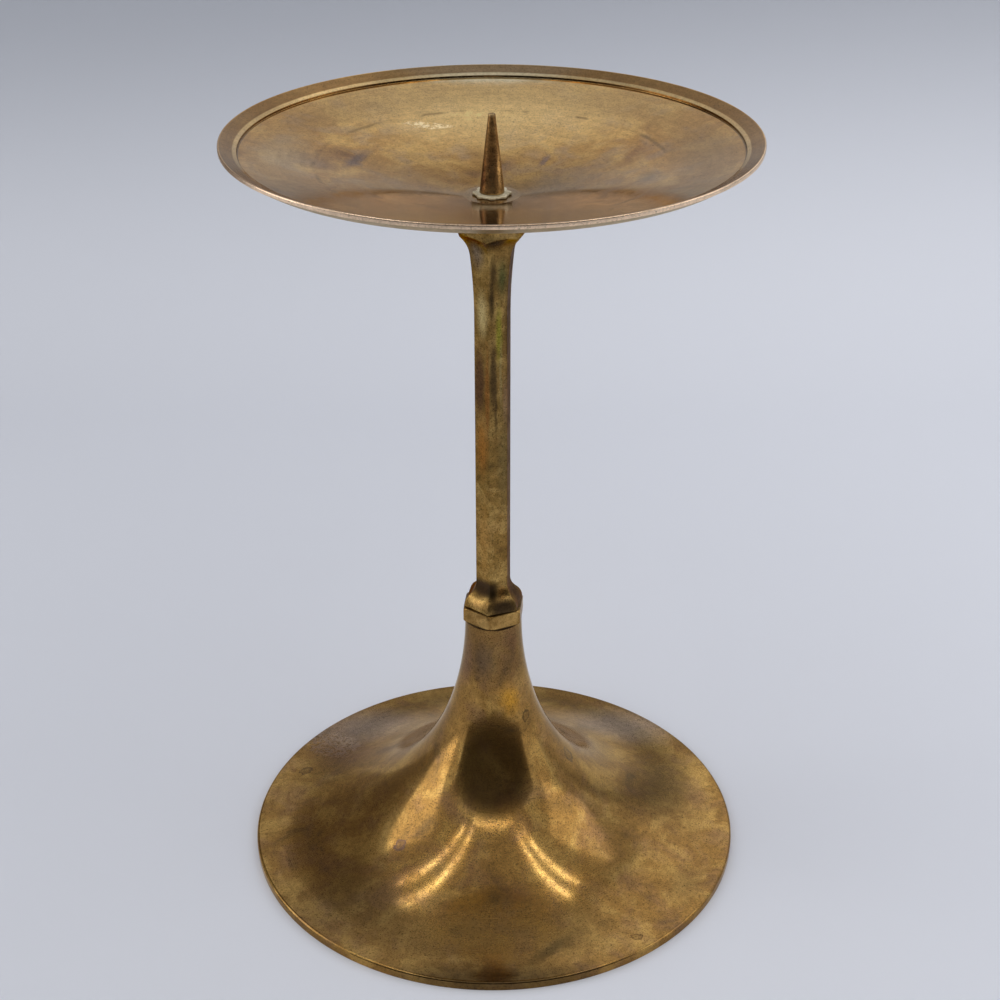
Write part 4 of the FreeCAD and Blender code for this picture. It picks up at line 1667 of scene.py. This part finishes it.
@dataclass(frozen=True)
class Viewpoint:
    """The camera of the photograph: place in metres, angles in degrees."""

    place: tuple[float, float, float] = (0.0, -0.48025, 0.382235)
    down: float = 28.2065
    aside: float = 0.2551
    roll: float = -0.0684
    lens: float = 63.78
    frame_width: float = 36.0
    nearest: float = 0.01

    def build(self) -> None:
        """Makes the camera and hands it to the scene."""
        pitch, yaw, roll = (math.radians(a) for a in (self.down, self.aside, self.roll))
        ahead = Vector((math.sin(yaw) * math.cos(pitch), math.cos(yaw) * math.cos(pitch),
                        -math.sin(pitch)))
        flat = Vector((math.cos(yaw), -math.sin(yaw), 0.0))
        upright = flat.cross(ahead)
        right = flat * math.cos(roll) + upright * math.sin(roll)
        above = upright * math.cos(roll) - flat * math.sin(roll)
        data = bpy.data.cameras.new("viewpoint")
        data.lens = self.lens
        data.sensor_width = self.frame_width
        data.clip_start = self.nearest
        camera = bpy.data.objects.new("viewpoint", data)
        camera.matrix_world = Matrix.Translation(self.place) @ Matrix(
            (right, above, -ahead)).transposed().to_4x4()
        bpy.context.scene.collection.objects.link(camera)
        bpy.context.scene.camera = camera


@dataclass(frozen=True)
class SoftBox:
    """One soft lamp: its middle, what it faces, its size in metres and its brightness."""

    name: str
    place: tuple[float, float, float]
    aim: tuple[float, float, float]
    size: tuple[float, float]
    brightness: float

    def build(self) -> None:
        """Hangs the lamp."""
        data = bpy.data.lights.new(self.name, "AREA")
        data.shape = "RECTANGLE"
        data.size, data.size_y = self.size
        data.energy = self.brightness * math.pi * self.size[0] * self.size[1]
        lamp = bpy.data.objects.new(self.name, data)
        lamp.visible_camera = False
        look = Vector(self.aim) - Vector(self.place)
        lamp.matrix_world = (Matrix.Translation(self.place)
                             @ look.to_track_quat("-Z", "Y").to_matrix().to_4x4())
        bpy.context.scene.collection.objects.link(lamp)


@dataclass(frozen=True)
class ClothFlag:
    """A cloth board on the floor that only the metal sees, as a studio's flag.

    Its edges stand at `left` and `right` and reach over the heights `span`, in
    metres. Its tones are the one in the middle and the paler one at the corners.
    """

    name: str
    left: tuple[float, float]
    right: tuple[float, float]
    span: tuple[float, float]
    tones: tuple[str, str]
    fade: tuple[float, float] = (0.55, 1.25)

    def cloth(self) -> bpy.types.Material:
        """Makes the board's finish.

        Returns:
            The finished material.
        """
        # Woven cloth is matt, so the metal mirrors a quiet tone that fades outwards
        brush = Brush(f"woven cloth, {self.name}")
        half = 0.5 / MM
        middle = tuple(-half * (a + b) for a, b in zip((*self.left, self.span[0]),
                                                       (*self.right, self.span[1])))
        away = brush.add(VECTOR, (brush.place, middle), operation="ADD")
        wide = half * math.dist(self.left, self.right)
        tall = half * (self.span[1] - self.span[0])
        fitted = brush.add(VECTOR, (away, (1.0 / wide, 1.0 / wide, 1.0 / tall)),
                           operation="MULTIPLY")
        far = brush.add(VECTOR, (fitted,), out="Value", operation="LENGTH")
        tone = brush.add(MIX, {
            SHARE: brush.add(RANGE, (far, *self.fade), **SMOOTH),
            UNDER: linear(self.tones[0]), OVER: linear(self.tones[1])}, **COLOURS)
        surface = brush.add("ShaderNodeBsdfPrincipled", {"Base Color": tone, "Roughness": 0.95})
        brush.add("ShaderNodeOutputMaterial", {"Surface": surface})
        return brush.material

    def build(self) -> None:
        """Stands the board in the studio."""
        low, high = self.span
        mesh = bpy.data.meshes.new(self.name)
        mesh.from_pydata([(*self.left, low), (*self.right, low), (*self.right, high),
                          (*self.left, high)], [], [(0, 1, 2, 3)])
        mesh.materials.append(self.cloth())
        board = bpy.data.objects.new(self.name, mesh)
        board.visible_camera = False
        board.visible_diffuse = False
        board.visible_shadow = False
        bpy.context.scene.collection.objects.link(board)


@dataclass(frozen=True)
class PaperSweep:
    """The pale floor and the backdrop that it rises into, in metres.

    A greyer band of painted shade lies on the backdrop, and its heights are in millimetres.
    Painted shade also makes the paper darker to the left.
    """

    # Painted shade: the paper is darker to the left than to the right
    left: str = "#DADCE2"
    right: str = "#EFF1F7"
    # Painted shade: the colour of the greyer band on the backdrop
    shade_band: str = "#A9ACB3"
    back: float = 0.62
    rounding: float = 0.3
    top: float = 2.0
    half_width: float = 7.0
    front: float = -9.0
    turning: tuple[float, float] = (-420.0, 300.0)
    shade_band_slant: float = -0.0004
    shade_band_full: float = 190.0
    shade_band_end: tuple[float, float] = (420.0, 230.0)

    def paper(self) -> bpy.types.Material:
        """Makes the sweep's finish.

        Returns:
            The finished material.
        """
        # Matt paper scatters all light, so it holds the stand's soft shadow and no
        # highlight. From behind it is clear, so that every view sees the stand.
        brush = Brush("matt pale paper, sweep")
        across = brush.add("ShaderNodeSeparateXYZ", (brush.place,))
        # Painted shade: darker to the left
        paper = brush.add(MIX, {
            SHARE: brush.add(RANGE, (across, *self.turning), **SMOOTH),
            UNDER: linear(self.left), OVER: linear(self.right)}, **COLOURS)
        # Painted shade: a greyer band low on the backdrop, slanting across it
        side = brush.add(MATH, (across, self.shade_band_slant, 1.0), operation="MULTIPLY_ADD")
        slanted = brush.add(MATH, (brush.height, side), operation="MULTIPLY")
        rise = brush.add(RANGE, (slanted, 0.0, self.shade_band_full), **SMOOTH)
        fall = brush.add(RANGE, (brush.height, *self.shade_band_end), **SMOOTH)
        band = brush.add(MATH, (rise, fall), operation="MULTIPLY")
        tone = brush.add(MIX, {SHARE: band, UNDER: paper, OVER: linear(self.shade_band)}, **COLOURS)
        surface = brush.add("ShaderNodeBsdfPrincipled", {"Base Color": tone, "Roughness": 0.85})
        behind = brush.add("ShaderNodeNewGeometry", out="Backfacing")
        clear = brush.add("ShaderNodeBsdfTransparent")
        either = brush.add("ShaderNodeMixShader", (behind, surface, clear))
        brush.add("ShaderNodeOutputMaterial", {"Surface": either})
        return brush.material

    def build(self) -> None:
        """Lays the paper in the studio."""
        bend = self.back - self.rounding
        rows = [(self.front, 0.0), (bend, 0.0)]
        rows += [(bend + self.rounding * math.sin(a), self.rounding * (1.0 - math.cos(a)))
                 for a in np.radians(np.arange(6.0, 91.0, 6.0))]
        rows.append((self.back, self.top))
        points = [(side * self.half_width, y, z) for y, z in rows for side in (-1.0, 1.0)]
        faces = [(2 * i, 2 * i + 1, 2 * i + 3, 2 * i + 2) for i in range(len(rows) - 1)]
        mesh = bpy.data.meshes.new("pale_sweep")
        mesh.from_pydata(points, [], faces)
        mesh.shade_smooth()
        mesh.materials.append(self.paper())
        sweep = bpy.data.objects.new("pale_sweep", mesh)
        bpy.context.scene.collection.objects.link(sweep)


@dataclass(frozen=True)
class Studio:
    """A pale sweep, cloth flags that only the metal sees, and soft lamps."""

    horizon: str = "#DCDFE6"
    overhead: str = "#B6B6B8"
    overhead_from: float = 0.9
    flags: Sequence[ClothFlag] = (
        ClothFlag("front_flag", (-1.8, -0.95), (1.7, -0.95), (-0.05, 1.02),
                  ("#35312D", "#9A958F")),
        ClothFlag("side_flag", (-0.50, 0.22), (-0.25, 0.45), (-0.02, 0.70),
                  ("#8A847E", "#B4B0AC")),
    )
    lamps: Sequence[SoftBox] = (
        SoftBox("box_left", (-0.88, 0.03, 0.43), (0.0, 0.0, 0.12), (0.5, 0.75), 1.4),
        SoftBox("box_right", (0.83, 0.03, 0.62), (0.0, 0.0, 0.05), (0.6, 0.5), 0.85),
        SoftBox("panel_back", (0.27, 0.415, 0.52), (0.0, 0.0, 0.02), (0.36, 0.46), 0.32),
        SoftBox("strip_front", (-0.03, -0.90, 1.1), (-0.03, -0.90, 0.0), (0.9, 0.06), 3.4),
        SoftBox("strip_left_near", (-0.43, -0.24, 1.1), (-0.43, -0.24, 0.0), (0.05, 1.1), 3.4),
        SoftBox("strip_left_far", (-0.61, -0.26, 1.1), (-0.61, -0.26, 0.0), (0.05, 1.0), 3.4),
        SoftBox("strip_right_near", (0.42, -0.30, 1.1), (0.42, -0.30, 0.0), (0.05, 0.9), 3.4),
        SoftBox("strip_right_far", (0.56, -0.32, 1.1), (0.56, -0.32, 0.0), (0.05, 0.9), 3.4),
    )

    def world(self) -> None:
        """Fills the room with soft light, paler at the horizon than overhead."""
        world = bpy.data.worlds.new("soft room")
        bpy.context.scene.world = world
        world.use_nodes = True
        world.node_tree.nodes.clear()
        sheet = NodeSheet(world.node_tree)
        way = sheet.add("ShaderNodeTexCoord", out="Generated")
        up = sheet.add("ShaderNodeSeparateXYZ", (way,), out=2)
        share = sheet.add(RANGE, (up, 0.0, self.overhead_from), **SMOOTH)
        tone = sheet.add(MIX, {SHARE: share, UNDER: linear(self.horizon),
                               OVER: linear(self.overhead)}, **COLOURS)
        light = sheet.add("ShaderNodeBackground", {"Color": tone, "Strength": 1.0})
        sheet.add("ShaderNodeOutputWorld", {"Surface": light})

    def build(self) -> None:
        """Sets up the whole studio."""
        PaperSweep().build()
        for flag in self.flags:
            flag.build()
        self.world()
        for lamp in self.lamps:
            lamp.build()
        bpy.context.scene.view_settings.view_transform = "Standard"


def main() -> None:
    """Builds the stand piece by piece, each on top of the last, then the studio."""
    logging.basicConfig(level=logging.INFO, format="%(name)s: %(message)s")
    Viewpoint().build()
    lathe, copies = TurningLathe(), RoundCopies()
    foot = TrumpetFoot()
    collar = HexCollar(seat=foot.height)
    stem = HexStem(seat=collar.seat + collar.height)
    dish = DripDish(seat=stem.seat + stem.length)
    washer = PetalWasher(seat=dish.seat + dish.floor)
    pricket = Pricket(seat=washer.seat + washer.thickness)
    foot.build(lathe)
    collar.build(copies)
    stem.build(copies)
    dish.build(lathe)
    washer.build(copies)
    pricket.build()
    FootFasteners().build()
    Studio().build()


if __name__ == "__main__":
    main()
